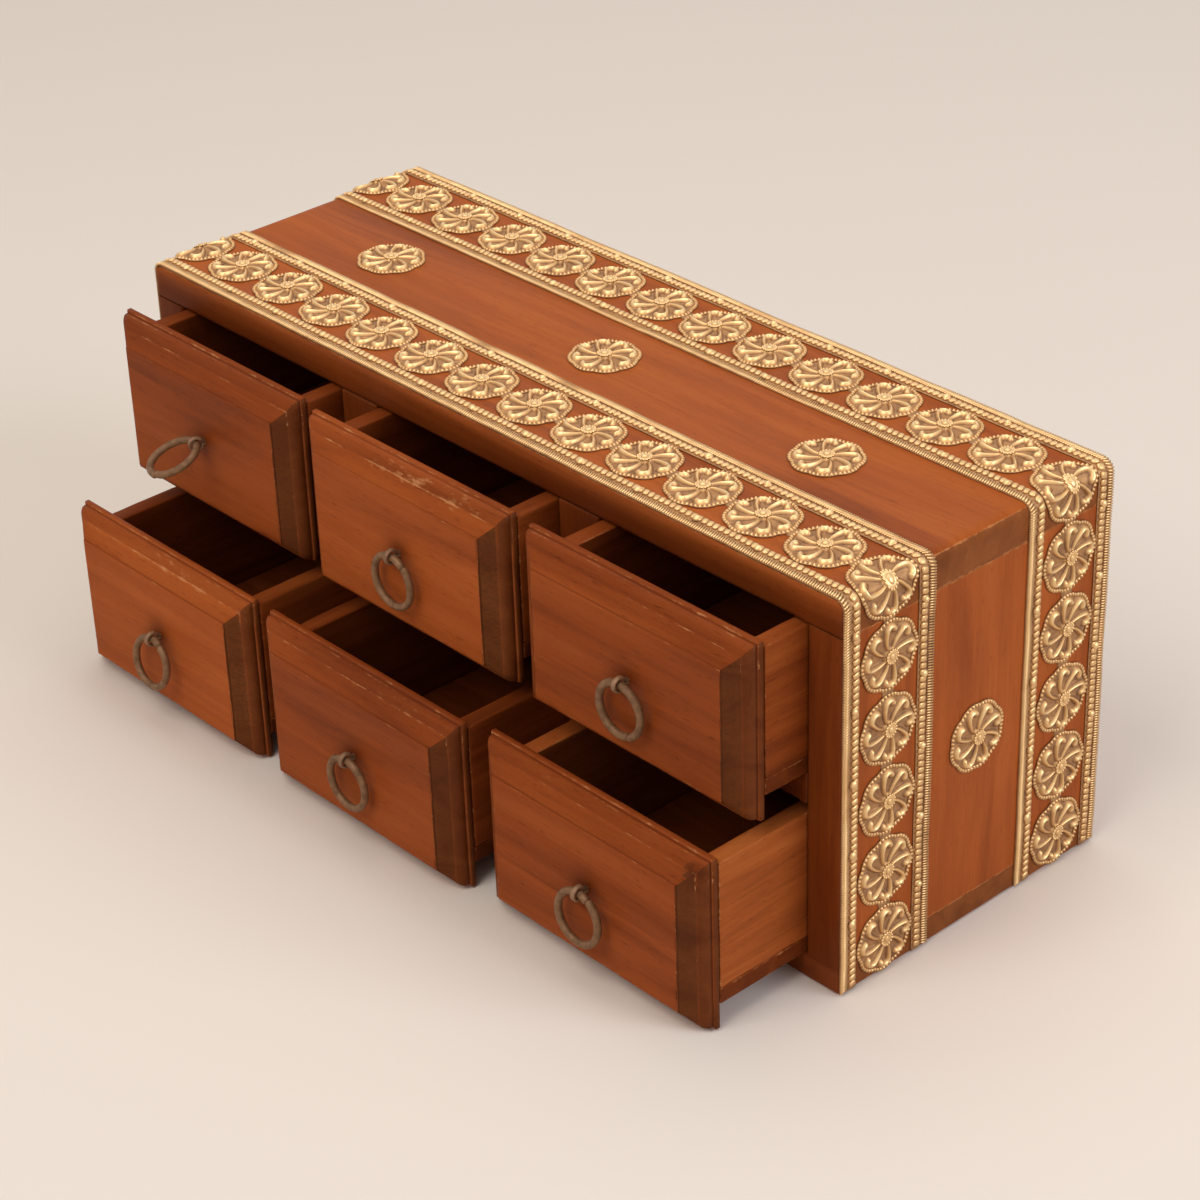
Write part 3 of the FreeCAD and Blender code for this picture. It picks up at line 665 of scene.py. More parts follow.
def ball_of(tree, rings):
    """A smooth ball one unit across."""
    inputs = {"Segments": 10, "Rings": rings, "Radius": 0.5}
    return smooth(add_node(tree, "GeometryNodeMeshUVSphere", inputs))


def moved(shape, **inputs):
    """A shape with its points at a new position or moved by an offset."""
    return add_node(shape.tree, "GeometryNodeSetPosition", {"Geometry": shape, **inputs})


def set_on(points, shape, **inputs):
    """A copy of a shape on each point."""
    inputs = {"Points": points, "Instance": shape, **inputs}
    return add_node(points.tree, "GeometryNodeInstanceOnPoints", inputs)


def join(*shapes):
    """Several shapes as one."""
    made = shapes[0].tree.nodes.new("GeometryNodeJoinGeometry")
    for shape in shapes:
        feed(shape.tree, made.inputs, {0: shape})
    return Value(made.outputs[0])


def store_relief(shape, value):
    """A shape that keeps its relief for the finish of the brass."""
    inputs = {"Geometry": shape, "Name": "relief", "Value": value}
    return add_node(shape.tree, "GeometryNodeStoreNamedAttribute", inputs, data_type="FLOAT", domain="POINT")


def bend_tree():
    """Bends a flat strip along X over both rounded ends of the top; heights above its back are kept."""
    tree, given = new_tree("bend_over_ends")
    half_flat, radius = given["Half Flat"], given["Round"]
    x, y, z = own_place(tree)
    run = x.calc("ABSOLUTE")
    over = run - half_flat
    angle = (over / radius).calc("MINIMUM", math.pi / 2).calc("MAXIMUM", 0.0)
    drop = (over - radius * (math.pi / 2)).calc("MAXIMUM", 0.0)
    reach = radius + z
    out = run.calc("MINIMUM", half_flat) + reach * angle.calc("SINE")
    rise = given["Height"] - radius + reach * angle.calc("COSINE")
    bent = vector(tree, out * x.calc("SIGN"), y, rise - drop)
    return give_back(tree, moved(given["Geometry"], Position=bent))


BEND_TREE = bend_tree()


def close_tree(tree, given, shape):
    """Realize a flat shape, bend it over the ends of the top and give it its material."""
    inputs = {"Geometry": realize(shape), **{name: given[name] for name in BEND_INPUTS}}
    bent = add_node(tree, "GeometryNodeGroup", inputs, node_tree=BEND_TREE)
    inputs = {"Geometry": bent, "Material": given["Material"]}
    return give_back(tree, add_node(tree, "GeometryNodeSetMaterial", inputs))


def grow(piece, tree, **values):
    """Run a geometry tree on a piece with its named inputs, and keep the result as a plain mesh."""
    modifier = piece.modifiers.new(tree.name, "NODES")
    modifier.node_group = tree
    values = {**BEND_INPUTS, "Material": BRASS, **values}
    for item in tree.interface.items_tree:
        if item.in_out == "INPUT" and item.name in values:
            modifier[item.identifier] = values[item.name]
    graph = bpy.context.evaluated_depsgraph_get()
    grown = piece.evaluated_get(graph)
    mesh = bpy.data.meshes.new_from_object(grown, preserve_all_data_layers=True, depsgraph=graph)
    piece.modifiers.remove(modifier)
    piece.data = mesh
    mesh.name = piece.name


# Border strips: a bead row beside the rosettes and a ribbed selvage on the other edge

STRIP_SECTION = [
    (-3.1, 0.05), (-3.1, 0.30), (-2.85, 0.34), (-1.9, 0.36), (-0.9, 0.34), (-0.65, 0.30),
    (-0.1, 0.32), (0.2, 0.42), (1.3, 0.50), (2.4, 0.42), (2.7, 0.38), (3.1, 0.36), (3.1, 0.05),
]
BEAD_LINE = 1.35
RIB_LINE = -1.9
SLANT = 0.3
BEND_STEP = 0.6
# Length is along the strip and width across it; sway is how far the strip strays to a side
BORDER_SIZES = {
    "Bead Pitch": 2.1, "Bead Level": 0.55, "Bead Length": 1.75, "Bead Width": 2.45, "Bead Rise": 1.25,
    "Rib Pitch": 0.85, "Rib Level": 0.36, "Rib Length": 0.58, "Rib Width": 2.4, "Rib Rise": 1.25,
    "Crest": 1.6, "Sway": 0.7,
}
BORDER_MARKS = ("Length", "Bead Line", "Rib Line", "Slant", "Polish", "Seed")
BORDERS = [("front_outer", 1), ("front_inner", -1), ("rear_inner", 1), ("rear_outer", -1)]
# How fast the fullness of beads, wear and sway change along a strip, per metre
BEAD_NOISE = 160.0
WEAR_NOISE = 26.0
SWAY_NOISE = 45.0
WEAR_RANGE = (0.36, 0.56)
# Where the selvage ends beside its line, and the heights from its ground to the crests of its ribs
SELVAGE_EDGE_M = (0.0010, 0.0015)
RIB_HEIGHTS_M = (0.00038, 0.00085)
# How much brighter the worn stretches of each selvage are
SELVAGE_POLISH = {"front_outer": 0.25, "front_inner": -0.12, "rear_inner": 0.25, "rear_outer": 0.2}


def strip_stations():
    """Places along a strip, close together where it bends."""
    count = round((BEND_LENGTH + 2.0) / BEND_STEP) + 1
    bends = [HALF_FLAT - 1.0 + BEND_STEP * step for step in range(count)]
    flat = np.linspace(0.0, HALF_FLAT - 1.0, 50)[:-1]
    side = np.linspace(bends[-1], HALF_STRIP, 42)[1:]
    half = np.concatenate([flat, bends, side])
    return np.concatenate([-half[:0:-1], half])


def flat_strip(name, strip_y, bead_side):
    """The plain sheet of a border before its beads and ribs, lying flat along X."""
    stations = strip_stations()
    points = [(run, strip_y + bead_side * width, height)
              for run in stations for width, height in STRIP_SECTION]
    faces = tube_faces(len(stations), len(STRIP_SECTION))
    return make_piece(name, points, [face[::-1] for face in faces] if bead_side > 0 else faces, BRASS)


def row_of(tree, given, what, shape, fullness):
    """Copies of a shape one pitch apart along the strip, slanted, and lower where they are less full."""
    pitch, line, level, length, width, rise = (
        given[f"{what} {name}"] for name in ("Pitch", "Line", "Level", "Length", "Width", "Rise"))
    count = (given["Length"] / pitch).calc("FLOOR")
    start = vector(tree, (count - 1.0) * pitch * -0.5, line, level)
    inputs = {"Count": count, "Start Location": start, "Offset": vector(tree, pitch)}
    points = add_node(tree, "GeometryNodeMeshLine", inputs)
    scale = vector(tree, length, width, rise * fullness)
    return set_on(points, shape, Rotation=vector(tree, z=given["Slant"]), Scale=scale)


def run_noise(tree, given, scale):
    """Noise that changes only along the strip."""
    where = vector(tree, own_place(tree)[0], given["Seed"])
    return add_node(tree, "ShaderNodeTexNoise", {"Vector": where, "Scale": scale, "Detail": 2.0})


def puffed_block(tree):
    """A bead one unit across: a block whose sides are blown out."""
    block = add_node(tree, "GeometryNodeMeshCube", {f"Vertices {axis}": 4 for axis in "XYZ"})
    place = add_node(tree, "GeometryNodeInputPosition")
    square = add_node(tree, "ShaderNodeVectorMath", {0: place, 1: place}, operation="MULTIPLY")
    length = add_node(tree, "ShaderNodeVectorMath", {0: square}, "Value", operation="LENGTH")
    growth = add_node(tree, "ShaderNodeMath", {0: 0.5, 1: length.calc("POWER", 0.5)}, operation="DIVIDE")
    puffed = add_node(tree, "ShaderNodeVectorMath", {0: place, "Scale": growth}, operation="SCALE")
    return moved(block, Position=puffed)


def border_tree():
    """Adds a row of slanted beads and a ribbed selvage to a flat strip, then bends it."""
    tree, given = new_tree("beaded_border", [*BORDER_SIZES, *BORDER_MARKS], Material="Material")
    fullness = spread(run_noise(tree, given, BEAD_NOISE), 0.25, 0.6, 0.72, 1.0)
    beads = row_of(tree, given, "Bead", puffed_block(tree), fullness)
    rod = add_node(tree, "GeometryNodeMeshCylinder", {"Vertices": 6, "Radius": 0.5, "Depth": 1.0})
    rod = add_node(tree, "GeometryNodeTransform", {"Geometry": rod, "Rotation": (math.pi / 2, 0.0, 0.0)})
    worn = run_noise(tree, given, WEAR_NOISE)
    ribs = row_of(tree, given, "Rib", rod, spread(worn, *WEAR_RANGE, 0.5, 1.0))
    whole = smooth(realize(join(given["Geometry"], beads, realize(ribs))))
    sway = (run_noise(tree, given, SWAY_NOISE) - 0.5) * given["Sway"]
    _, y, z = own_place(tree)
    level = z / given["Crest"]
    on_selvage = spread((y - given["Rib Line"]).calc("ABSOLUTE"), *SELVAGE_EDGE_M, 1.0, 0.0)
    polish = spread(worn, *WEAR_RANGE, 1.0, 0.0) * given["Polish"]
    ribbed = polish + spread(z, *RIB_HEIGHTS_M, 0.18, 0.78)
    level = level + on_selvage * (ribbed - level)
    return close_tree(tree, given, store_relief(moved(whole, Offset=vector(tree, y=sway)), level))


BORDER_TREE = border_tree()
for number, (border, bead_side) in enumerate(BORDERS):
    strip_y = middle_y(f"{border}_border")
    strip = flat_strip(f"{border}_border_strip", strip_y, bead_side)
    grow(strip, BORDER_TREE, **{name: size * MM for name, size in BORDER_SIZES.items()}, **{
        "Length": 2 * HALF_STRIP * MM, "Slant": bead_side * SLANT,
        "Bead Line": (strip_y + bead_side * BEAD_LINE) * MM,
        "Rib Line": (strip_y + bead_side * RIB_LINE) * MM,
        "Polish": SELVAGE_POLISH[border], "Seed": 1.0 + number,
    })
    seat(strip, "brass", f"{border}_border")


# Rosettes: eight hooked petals round a beaded boss, with a ribbed and scalloped rim

PETALS = 8
ROSETTE_RADIUS = 11.2
STAMP_SECTORS = 176
STAMP_RINGS = 28
SHEET_REACH = 0.93
SHEET_LEVEL = 0.5
BACK_LEVEL = 0.05
HOLLOW = 0.3
BOSS_SHARE = 0.18
BOSS_SLOPE = 0.035
BOSS_RISE = 1.15
BOSS_BEADS = 14
# How wide the boss's beads and its crown are, and how far each is sunk
BEAD_ACROSS, BEAD_SINK = 0.9, 0.3
CROWN_ACROSS, CROWN_SINK = 2.4, 0.1
# One petal along X, in shares of the radius: a bowed stem, then a hook that turns back round its middle
STEM_START = 0.105
STEM_BOW = 0.085
HOOK_REACH = 0.662
HOOK_ROUND = 0.143
HOOK_SWEEP = math.radians(165.0)
STEM_STEPS = 5
HOOK_STEPS = 8
# The rim's section from its inner edge round to its back: share of the radius, height and if it is ribbed
RIM_RIBS = 52
RIB_BEATS = 4
RIM_SECTION = [
    (0.875, 0.34, False), (0.90, 0.62, True), (0.94, 0.80, True),
    (0.985, 0.60, True), (1.0, 0.08, False), (0.905, 0.08, False),
]
# A small half ball, and the relief at its tip and at each ring below
BALL_SIDES = 8
BALL_RISE = 0.5
BALL_RELIEF = (0.95, 0.8, 0.5, 0.1)


def petal_spine():
    """Spots along one petal: place, half width and height of its ridge."""
    rows = []
    for share in np.arange(STEM_STEPS) / STEM_STEPS:
        bow = 0.02 * math.sin(math.pi * share) - STEM_BOW * (1 - share) ** 2
        reach = STEM_START + share * (HOOK_REACH - STEM_START)
        rows.append((reach, HOOK_ROUND + bow, 0.036 + 0.030 * share, 0.60 + 0.60 * share))
    for share in np.linspace(0.0, 1.0, HOOK_STEPS + 1):
        angle = math.pi / 2 - share * HOOK_SWEEP
        swell = math.sin(math.pi * share)
        rows.append((HOOK_REACH + HOOK_ROUND * math.cos(angle), HOOK_ROUND * math.sin(angle),
                     0.066 + 0.024 * share, 1.20 + 0.04 * swell - 0.1 * share ** 2))
    return np.array(rows)


def scallop(angle):
    """The rim's outline, as a share of the radius."""
    return 0.945 + 0.055 * np.abs(np.cos(PETALS / 2 * angle)) ** 0.8


def hook_relief(x, y):
    """Height of the petals' ridges over the sheet, and distance from them in ridge widths."""
    relief, away = np.zeros_like(x), np.full_like(x, 9.0)
    spine = petal_spine()
    for petal in range(PETALS):
        turn = FULL_TURN * petal / PETALS
        here_x = x * math.cos(turn) + y * math.sin(turn)
        here_y = y * math.cos(turn) - x * math.sin(turn)
        for first, last in zip(spine, spine[1:]):
            way = last[:2] - first[:2]
            along = (here_x - first[0]) * way[0] + (here_y - first[1]) * way[1]
            share = np.clip(along / (way @ way), 0, 1)
            gap = np.hypot(here_x - first[0] - share * way[0], here_y - first[1] - share * way[1])
            width = first[2] + share * (last[2] - first[2])
            height = first[3] + share * (last[3] - first[3])
            relief = np.maximum(relief, height * np.clip(1 - (gap / width) ** 1.6, 0, 1))
            away = np.minimum(away, gap / width)
    return relief, away


def small_ball(middle, across):
    """Points, relief and faces of a small half ball standing on a level."""
    rings = len(BALL_RELIEF) - 1
    points, relief = [(middle[0], middle[1], middle[2] + BALL_RISE)], [BALL_RELIEF[0]]
    for ring in range(1, rings + 1):
        tilt = ring * math.pi / 2 / rings
        reach = across / 2 * math.sin(tilt)
        for side in range(BALL_SIDES):
            angle = side * FULL_TURN / BALL_SIDES
            points.append((middle[0] + reach * math.cos(angle), middle[1] + reach * math.sin(angle),
                           middle[2] + BALL_RISE * math.cos(tilt)))
            relief.append(BALL_RELIEF[ring])
    return points, relief, dome_faces(rings, BALL_SIDES)


def stamp_sheet():
    """Points, relief and faces of the sheet with its petals and boss."""
    stem = petal_spine()[:STEM_STEPS + 3]
    stem_reach, stem_swirl = np.hypot(stem[:, 0], stem[:, 1]), np.arctan2(stem[:, 1], stem[:, 0])
    points, relief = [(0.0, 0.0, SHEET_LEVEL + BOSS_RISE)], [0.7]
    for share in np.linspace(0.0, 1.0, STAMP_RINGS + 1)[1:]:
        swirl = float(np.interp(share, stem_reach, stem_swirl))
        angles = swirl + np.arange(STAMP_SECTORS) * FULL_TURN / STAMP_SECTORS
        bulge = np.clip((share - 0.3) / 0.6, 0, 1)
        span = share * SHEET_REACH * (1 - bulge + bulge * scallop(angles))
        x, y = span * np.cos(angles), span * np.sin(angles)
        ridge, away = hook_relief(x, y)
        boss = BOSS_RISE * np.clip((BOSS_SHARE + BOSS_SLOPE - span) / BOSS_SLOPE, 0, 1)
        hollow = HOLLOW * np.clip((span - 0.2) / 0.2, 0, 1) * np.clip((away - 1.0) / 0.8, 0, 1)
        foot = np.exp(-((away - 1.12) / 0.3) ** 2) * np.clip((0.92 - share) / 0.1, 0, 1)
        raised = np.maximum(ridge, boss)
        points += list(zip(x * ROSETTE_RADIUS, y * ROSETTE_RADIUS, SHEET_LEVEL + raised - hollow))
        relief += list(0.23 - 0.16 * foot + 0.60 * raised)
    points += [(x, y, BACK_LEVEL) for x, y, _ in points[-STAMP_SECTORS:]]
    relief += [0.0] * STAMP_SECTORS
    return points, relief, dome_faces(STAMP_RINGS + 1, STAMP_SECTORS)


def stamp_rim():
    """Points, relief and faces of the ribbed rim."""
    points, relief = [], []
    beats = RIM_RIBS * RIB_BEATS
    for beat in range(beats):
        angle = beat * FULL_TURN / beats
        rib = 0.5 + 0.5 * math.cos(FULL_TURN * beat / RIB_BEATS)
        for share, height, ribbed in RIM_SECTION:
            span = share * float(scallop(np.array(angle))) * ROSETTE_RADIUS
            crest = rib if ribbed else 0.0
            points.append((span * math.cos(angle), span * math.sin(angle), height * (0.6 + 0.7 * crest)))
            relief.append(0.08 + 0.68 * crest)
    return points, relief, ring_quads(0, beats, len(RIM_SECTION), loop=True)


def rosette_stamp():
    """One rosette lying flat round the origin, as an object that the trees repeat."""
    parts = [stamp_sheet(), stamp_rim()]
    for bead in range(BOSS_BEADS):
        reach, angle = BOSS_SHARE * ROSETTE_RADIUS, bead * FULL_TURN / BOSS_BEADS
        spot = (reach * math.cos(angle), reach * math.sin(angle), SHEET_LEVEL + (BOSS_RISE - BEAD_SINK))
        parts.append(small_ball(spot, BEAD_ACROSS))
    parts.append(small_ball((0.0, 0.0, SHEET_LEVEL + (BOSS_RISE - CROWN_SINK)), CROWN_ACROSS))
    points, relief, faces = [], [], []
    for part_points, part_relief, part_faces in parts:
        faces += [tuple(len(points) + corner for corner in face) for face in part_faces]
        points += part_points
        relief += part_relief
    stamp = make_piece("rosette_stamp", points, faces, BRASS)
    paint(stamp, "relief", relief)
    return stamp


LINK_SIZES = {"Link Length": 4.0, "Link Width": 5.0, "Link Rise": 1.2}
LINK_RELIEF = 0.2


def chain_tree():
    """Sets a stamp on each point, or a plain low link where the point is one, then bends the chain."""
    tree, given = new_tree("rosette_chain", LINK_SIZES, Stamp="Object", Material="Material")
    is_link = add_node(tree, "GeometryNodeInputNamedAttribute", {"Name": "link"}, data_type="BOOLEAN")
    turn = add_node(tree, "GeometryNodeInputNamedAttribute", {"Name": "turn"}, data_type="FLOAT")
    not_link = add_node(tree, "FunctionNodeBooleanMath", {0: is_link}, operation="NOT")
    stamp = add_node(tree, "GeometryNodeObjectInfo", {"Object": given["Stamp"]}, "Geometry")
    points = given["Geometry"]
    rosettes = set_on(points, stamp, Selection=not_link, Rotation=vector(tree, z=turn))
    ball = store_relief(ball_of(tree, 6), LINK_RELIEF)
    size = vector(tree, *(given[name] for name in LINK_SIZES))
    links = set_on(points, ball, Selection=is_link, Scale=size)
    return close_tree(tree, given, join(rosettes, links))


def spots(name, places):
    """A mesh of loose points, each a run along the strip, a place across it, a link mark and a turn."""
    piece = make_piece(name, [(run, across, 0.0) for run, across, _, _ in places], [], BRASS)
    layer = piece.data.attributes.new("link", "BOOLEAN", "POINT")
    layer.data.foreach_set("value", [link for _, _, link, _ in places])
    paint(piece, "turn", [turn for _, _, _, turn in places])
    return piece


TOP_ROSETTES = 12
SIDE_ROSETTES = 5
MEDALLION_LEVEL = 61.5
# How far each loose rosette is turned, in degrees, and where the three on the top sit
SIDE_MEDALLION_TURNS = (11.0, 17.0)
TOP_MEDALLIONS = [(-98.0, 29.0), (2.0, 6.0), (93.4, 37.0)]
LOWEST_ROSETTE = ROSETTE_RADIUS + 0.3
STRETCHES = [
    ("left", -HALF_STRIP, -HALF_FLAT), ("top", -HALF_FLAT, HALF_FLAT), ("right", HALF_FLAT, HALF_STRIP),
]
top_pitch = 2 * HALF_WIDTH / (TOP_ROSETTES + 1)
side_pitch = (CASE_HEIGHT - LOWEST_ROSETTE) / SIDE_ROSETTES
side_runs = [side_run(CASE_HEIGHT - step * side_pitch) for step in range(1, SIDE_ROSETTES + 1)]
end_runs = [HALF_FLAT + BEND_LENGTH / 2] + side_runs
top_runs = [step * top_pitch - HALF_WIDTH for step in range(1, TOP_ROSETTES + 1)]
chain_runs = [-run for run in reversed(end_runs)] + top_runs + end_runs

CHAIN_TREE = chain_tree()
STAMP = rosette_stamp()
CHAIN_SET = {"Stamp": STAMP, **{name: size * MM for name, size in LINK_SIZES.items()}}
for end in ("front", "rear"):
    chain_y = middle_y(f"{end}_rosette_chain")
    places = [(run, chain_y, False, 0.0) for run in chain_runs]
    places += [((first + last) / 2, chain_y, True, 0.0) for first, last in zip(chain_runs, chain_runs[1:])]
    for stretch, start, stop in STRETCHES:
        on_stretch = [place for place in places if start <= place[0] < stop]
        chain = spots(f"{end}_rosette_chain_{stretch}", on_stretch)
        grow(chain, CHAIN_TREE, **CHAIN_SET)
        seat(chain, "brass", f"{end}_rosette_chain")

medallion_run = side_run(MEDALLION_LEVEL)
medallion_spots = [*zip((-medallion_run, medallion_run), SIDE_MEDALLION_TURNS), *TOP_MEDALLIONS]
medallion_places = [(run, 0.0, False, math.radians(turn)) for run, turn in medallion_spots]
medallions = spots("brass_medallions_stamped", medallion_places)
grow(medallions, CHAIN_TREE, **CHAIN_SET)
seat(medallions, "brass", "brass_medallions")
bpy.data.objects.remove(STAMP)


# Tacks along each border, half a step from the rosettes

TACK_ACROSS = 2.8
TACK_RISE = 2.3
TACK_LEVEL = 0.5
TACK_LINE = 0.9
TACK_SEED = 3
TACK_FIT = (0.85, 1.12)


def tack_tree():
    """Sets a low domed head on each point, then bends the row with its border."""
    tree, given = new_tree("tack_row", ("Across", "Rise"), Seed="Int", Material="Material")
    dome = store_relief(ball_of(tree, 8), spread(own_place(tree)[2], 0.05, 0.42, 0.1, 0.8))
    inputs = {2: TACK_FIT[0], 3: TACK_FIT[1], "Seed": given["Seed"]}
    across = given["Across"] * add_node(tree, "FunctionNodeRandomValue", inputs, 1, data_type="FLOAT")
    heads = set_on(given["Geometry"], dome, Scale=vector(tree, across, across, given["Rise"]))
    return close_tree(tree, given, heads)


tack_runs = [side_run(CASE_HEIGHT - (step + 0.5) * side_pitch) for step in range(SIDE_ROSETTES)]
tack_runs = [-run for run in tack_runs] + tack_runs
tack_runs += [(step + 0.5) * top_pitch - HALF_WIDTH for step in range(TOP_ROSETTES + 1)]
tack_lines = [middle_y(f"{border}_border") + side * TACK_LINE for border, side in BORDERS]
tack_spots = [(run, line, TACK_LEVEL) for line in tack_lines for run in tack_runs]
tacks = make_piece("brass_tacks_domed", tack_spots, [], BRASS)
grow(tacks, tack_tree(), Across=TACK_ACROSS * MM, Rise=TACK_RISE * MM, Seed=TACK_SEED)
seat(tacks, "brass", "brass_tacks")


# Ring pulls and their split pins

WIRE_SIDES = 14
RING_WIRE = 1.2
# Where the ends of each ring's wire meet, in degrees from the eye, and the fine steps round that place
JOIN_ANGLE = {
    "upper_left": 150.0, "upper_middle": 40.0, "upper_right": 205.0,
    "lower_left": 330.0, "lower_middle": 35.0, "lower_right": 28.0,
}
JOIN_SPAN = 0.16
JOIN_STEPS = 24
REST_STEPS = 72
# The ends stand a little out of line, with a groove between them
JOIN_OFFSET = 0.22
GROOVE_DEPTH = 0.34
GROOVE_WIDTH = 0.22

EYE_RADIUS = 2.1
EYE_REACH = 3.1
STRAP_HALF_WIDTH = 0.75
STRAP_HALF_THICK = 0.4
STRAP_SECTION = [(-1, -0.55), (-0.8, -1), (0.8, -1), (1, -0.55), (1, 0.55), (0.8, 1), (-0.8, 1), (-1, 0.55)]
LEG_SPREAD = 0.5
LEG_LENGTH = 6.0
LEG_LIFT = 0.55


def wire_piece(name, node, slot, material, tube, faces):
    """A closed tube of wire: spine points, two cross directions for each, and the section along them."""
    points = [spot + a * first + b * second for spot, first, second, section in tube for a, b in section]
    piece = make_piece(name, points, faces, material)
    net = bmesh.new()
    net.from_mesh(piece.data)
    bmesh.ops.remove_doubles(net, verts=net.verts, dist=1e-6)
    bmesh.ops.recalc_face_normals(net, faces=net.faces)
    net.to_mesh(piece.data)
    net.free()
    seat(piece, slot, node)


def wire_ring(drawer):
    """A ring bent from thick wire, a little uneven, with its two ends butted together."""
    node = f"{drawer}_ring"
    cloud = np.array([vertex.co for vertex in frame["nodes"][node].data.vertices]) / MM
    middle = (cloud.max(axis=0) + cloud.min(axis=0)) / 2
    face = np.linalg.svd(cloud - cloud.mean(axis=0), full_matrices=False)[2][2]
    up = eye_spot(drawer) - middle
    up -= face * (up @ face)
    radius = np.linalg.norm(up)
    up /= radius
    right = np.cross(up, face)
    corners = np.arange(WIRE_SIDES) * FULL_TURN / WIRE_SIDES
    near_join = np.linspace(-JOIN_SPAN, JOIN_SPAN, JOIN_STEPS + 1)[:-1]
    rest = np.linspace(JOIN_SPAN, FULL_TURN - JOIN_SPAN, REST_STEPS + 1)[:-1]
    tube = []
    for turn in np.concatenate([near_join, rest]):
        angle = math.radians(JOIN_ANGLE[drawer]) + turn
        out = math.cos(angle) * up + math.sin(angle) * right
        away = (turn if turn < math.pi else turn - FULL_TURN) * radius
        spot = middle + out * radius
        step_out = JOIN_OFFSET * math.tanh(away / 0.25) * math.exp(-(away / 1.6) ** 2)
        groove = 1 - GROOVE_DEPTH * math.exp(-(away / GROOVE_WIDTH) ** 2)
        wire = RING_WIRE * (0.98 + 0.03 * wobble(spot, 5.0)) * groove
        section = [(wire * math.cos(corner), wire * math.sin(corner)) for corner in corners]
        tube.append((spot + out * (0.10 * wobble(spot, 7.0) + step_out), out, face, section))
    faces = ring_quads(0, len(tube), WIRE_SIDES, loop=True)
    wire_piece(f"{node}_wire", node, "ring_iron", RING_IRON, tube, faces)


def split_pin(drawer):
    """A strap folded into an eye before the drawer, put through the front, its legs clinched behind."""
    node = f"{drawer}_ring_pin"
    axis = JOINTS[f"{drawer}_ring_swing"]["axis"]
    twist = math.atan2(axis[1], -axis[0])
    eye = eye_spot(drawer)
    face = eye[1] + EYE_REACH
    back = face + FRONT_THICK
    path = [(back + LEG_LIFT, LEG_LENGTH), (back + LEG_LIFT, 3.0), (back + LEG_LIFT, 1.3),
            (back + 0.2, 0.75), (back - 0.8, LEG_SPREAD), (face + 0.5, LEG_SPREAD)]
    path += [(eye[1] + EYE_RADIUS * math.cos(angle), EYE_RADIUS * math.sin(angle))
             for angle in np.linspace(math.asin(LEG_SPREAD / EYE_RADIUS), math.pi, 15)]
    path += [(y, -z) for y, z in reversed(path[:-1])]
    path = np.array(path)
    ways = np.gradient(path, axis=0)
    ways /= np.linalg.norm(ways, axis=1)[:, None]
    tube = []
    for (y, z), (way_y, way_z) in zip(path, ways):
        share = np.clip((face - y) / (EYE_REACH - 1.0), 0, 1)
        angle = -twist * share * share * (3 - 2 * share)
        flat = np.array([-math.sin(angle), math.cos(angle), 0.0])
        spot = np.array([eye[0], eye[1], eye[2] + z]) + flat * (y - eye[1])
        side = np.array([math.cos(angle), math.sin(angle), 0.0])
        lift = np.array([-way_z * flat[0], -way_z * flat[1], way_y])
        worn = 1 + 0.08 * wobble(spot, 2.5)
        section = [(STRAP_HALF_WIDTH * a * worn, STRAP_HALF_THICK * b * worn) for a, b in STRAP_SECTION]
        tube.append((spot, side, lift, section))
    faces = tube_faces(len(tube), len(STRAP_SECTION))
    wire_piece(f"{node}_strap", node, "pin_iron", PIN_IRON, tube, faces)


for drawer in DRAWERS:
    wire_ring(drawer)
    split_pin(drawer)


# Floor, light and camera, in metres

FLOOR_HALF = 4.0
FLOOR_LEVEL = -0.0002
FLOOR_COLOUR = (0.84, 0.75, 0.67, 1.0)
WORLD_COLOUR = (1.0, 0.97, 0.93, 1.0)
WORLD_STRENGTH = 0.34
LAMP_AIM = (0.0, 0.0, 0.06)
# Each lamp's place, width, power and colour
LAMPS = {
    "key": ((0.1, -1.1, 1.5), 1.1, 13.5, (1.0, 0.96, 0.90)),
    "side": ((1.5, 0.5, 0.9), 1.0, 11.5, (0.98, 1.05, 1.18)),
    "overhead": ((-0.3, 0.4, 1.8), 1.4, 9.0, (1.0, 0.94, 0.87)),
}
CAMERA_PLACE = (0.62802, -0.56028, 0.54184)
CAMERA_ANGLES = (59.295, 1.730, 47.411)
CAMERA_LENS = 94.325


def put(name, data, place=(0.0, 0.0, 0.0)):
    """A new object in the scene at a place."""
    made = bpy.data.objects.new(name, data)
    made.location = place
    bpy.context.scene.collection.objects.link(made)
    return made


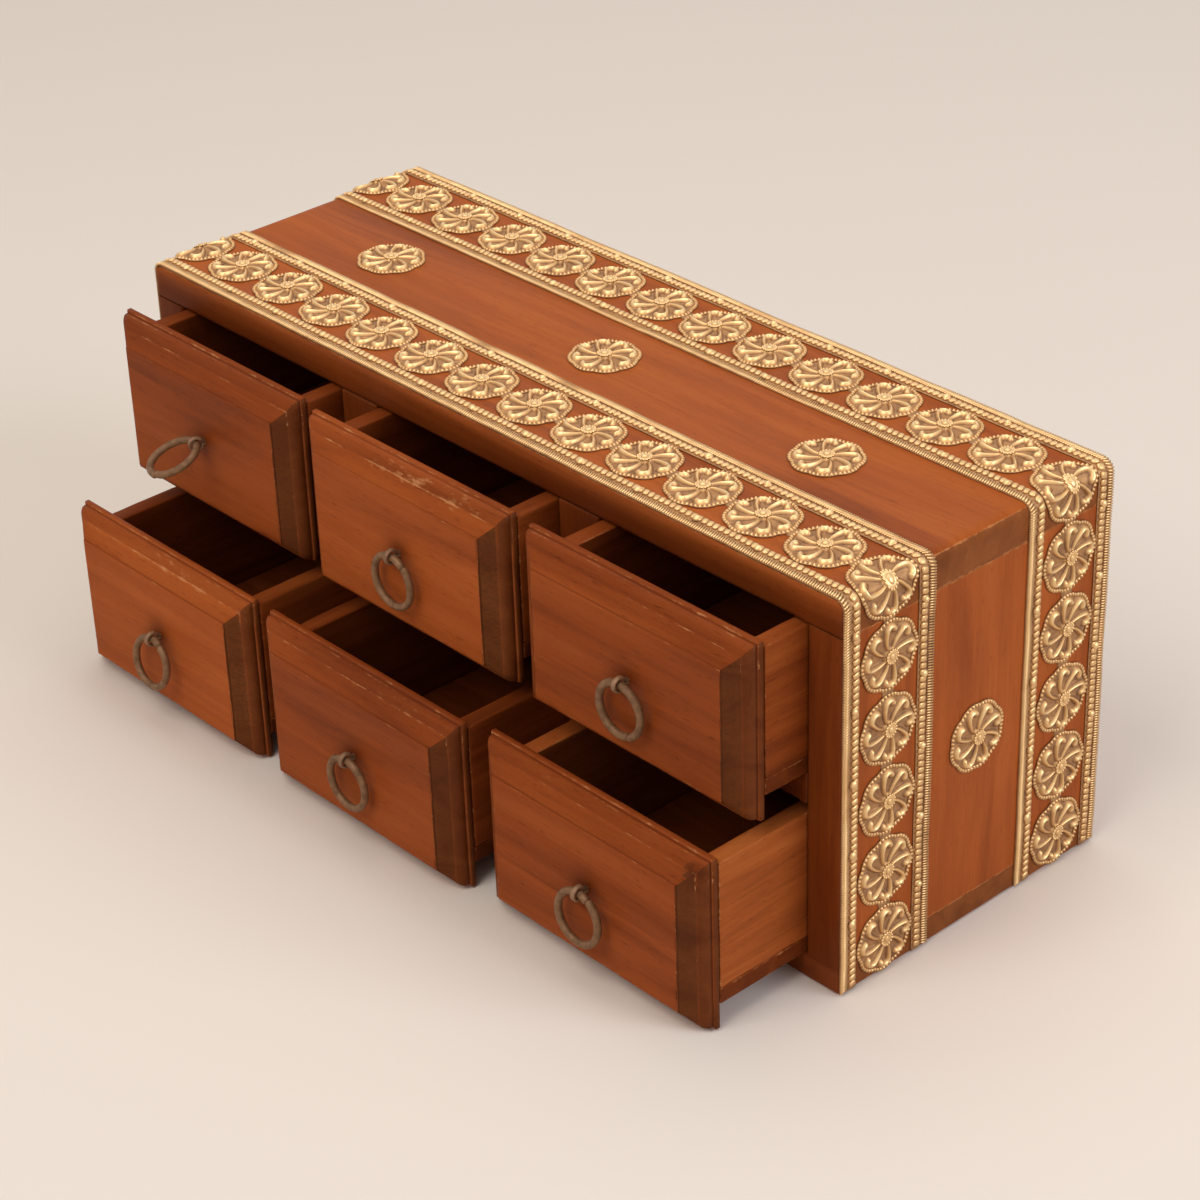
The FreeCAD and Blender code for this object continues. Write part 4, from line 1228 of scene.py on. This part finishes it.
def plain_floor():
    """A wide, dull, pale floor just under the chest."""
    mesh = bpy.data.meshes.new("floor")
    ways = ((-1, -1), (1, -1), (1, 1), (-1, 1))
    corners = [(x * FLOOR_HALF, y * FLOOR_HALF, FLOOR_LEVEL) for x, y in ways]
    mesh.from_pydata(corners, [], [(0, 1, 2, 3)])
    material, tree, shader = new_finish("pale_floor")
    feed(tree, shader, {"Base Color": FLOOR_COLOUR, "Roughness": 0.9})
    mesh.materials.append(material)
    put("floor", mesh)


def soft_lamp(name, place, across, power, colour):
    """A large square lamp turned towards the chest."""
    lamp = bpy.data.lights.new(name, "AREA")
    lamp.size = across
    lamp.energy = power
    lamp.color = colour
    holder = put(name, lamp, place)
    holder.rotation_euler = (Vector(LAMP_AIM) - Vector(place)).to_track_quat("-Z", "Y").to_euler()


def studio_world():
    """Soft light from all round; what the camera and mirrors see of it is white."""
    world = bpy.data.worlds.new("studio")
    bpy.context.scene.world = world
    world.use_nodes = True
    tree = world.node_tree
    tree.nodes.clear()
    camera_ray, mirror_ray, glass_ray = (
        add_node(tree, "ShaderNodeLightPath", output=f"Is {kind} Ray")
        for kind in ("Camera", "Glossy", "Transmission"))
    seen = camera_ray.calc("MAXIMUM", mirror_ray.calc("MAXIMUM", glass_ray))
    dim = add_node(tree, "ShaderNodeBackground", {"Color": WORLD_COLOUR, "Strength": WORLD_STRENGTH})
    white = add_node(tree, "ShaderNodeBackground", {"Color": (1.0, 1.0, 1.0, 1.0), "Strength": 1.0})
    mixed = add_node(tree, "ShaderNodeMixShader", {0: seen, 1: dim, 2: white})
    feed(tree, tree.nodes.new("ShaderNodeOutputWorld").inputs, {"Surface": mixed})


plain_floor()
studio_world()
for lamp_name, lamp_set in LAMPS.items():
    soft_lamp(lamp_name, *lamp_set)

lens = bpy.data.cameras.new("camera")
lens.sensor_width = 36.0
lens.lens = CAMERA_LENS
camera = put("camera", lens, CAMERA_PLACE)
camera.rotation_euler = [math.radians(angle) for angle in CAMERA_ANGLES]
bpy.context.scene.camera = camera
bpy.context.scene.view_settings.view_transform = "Standard"
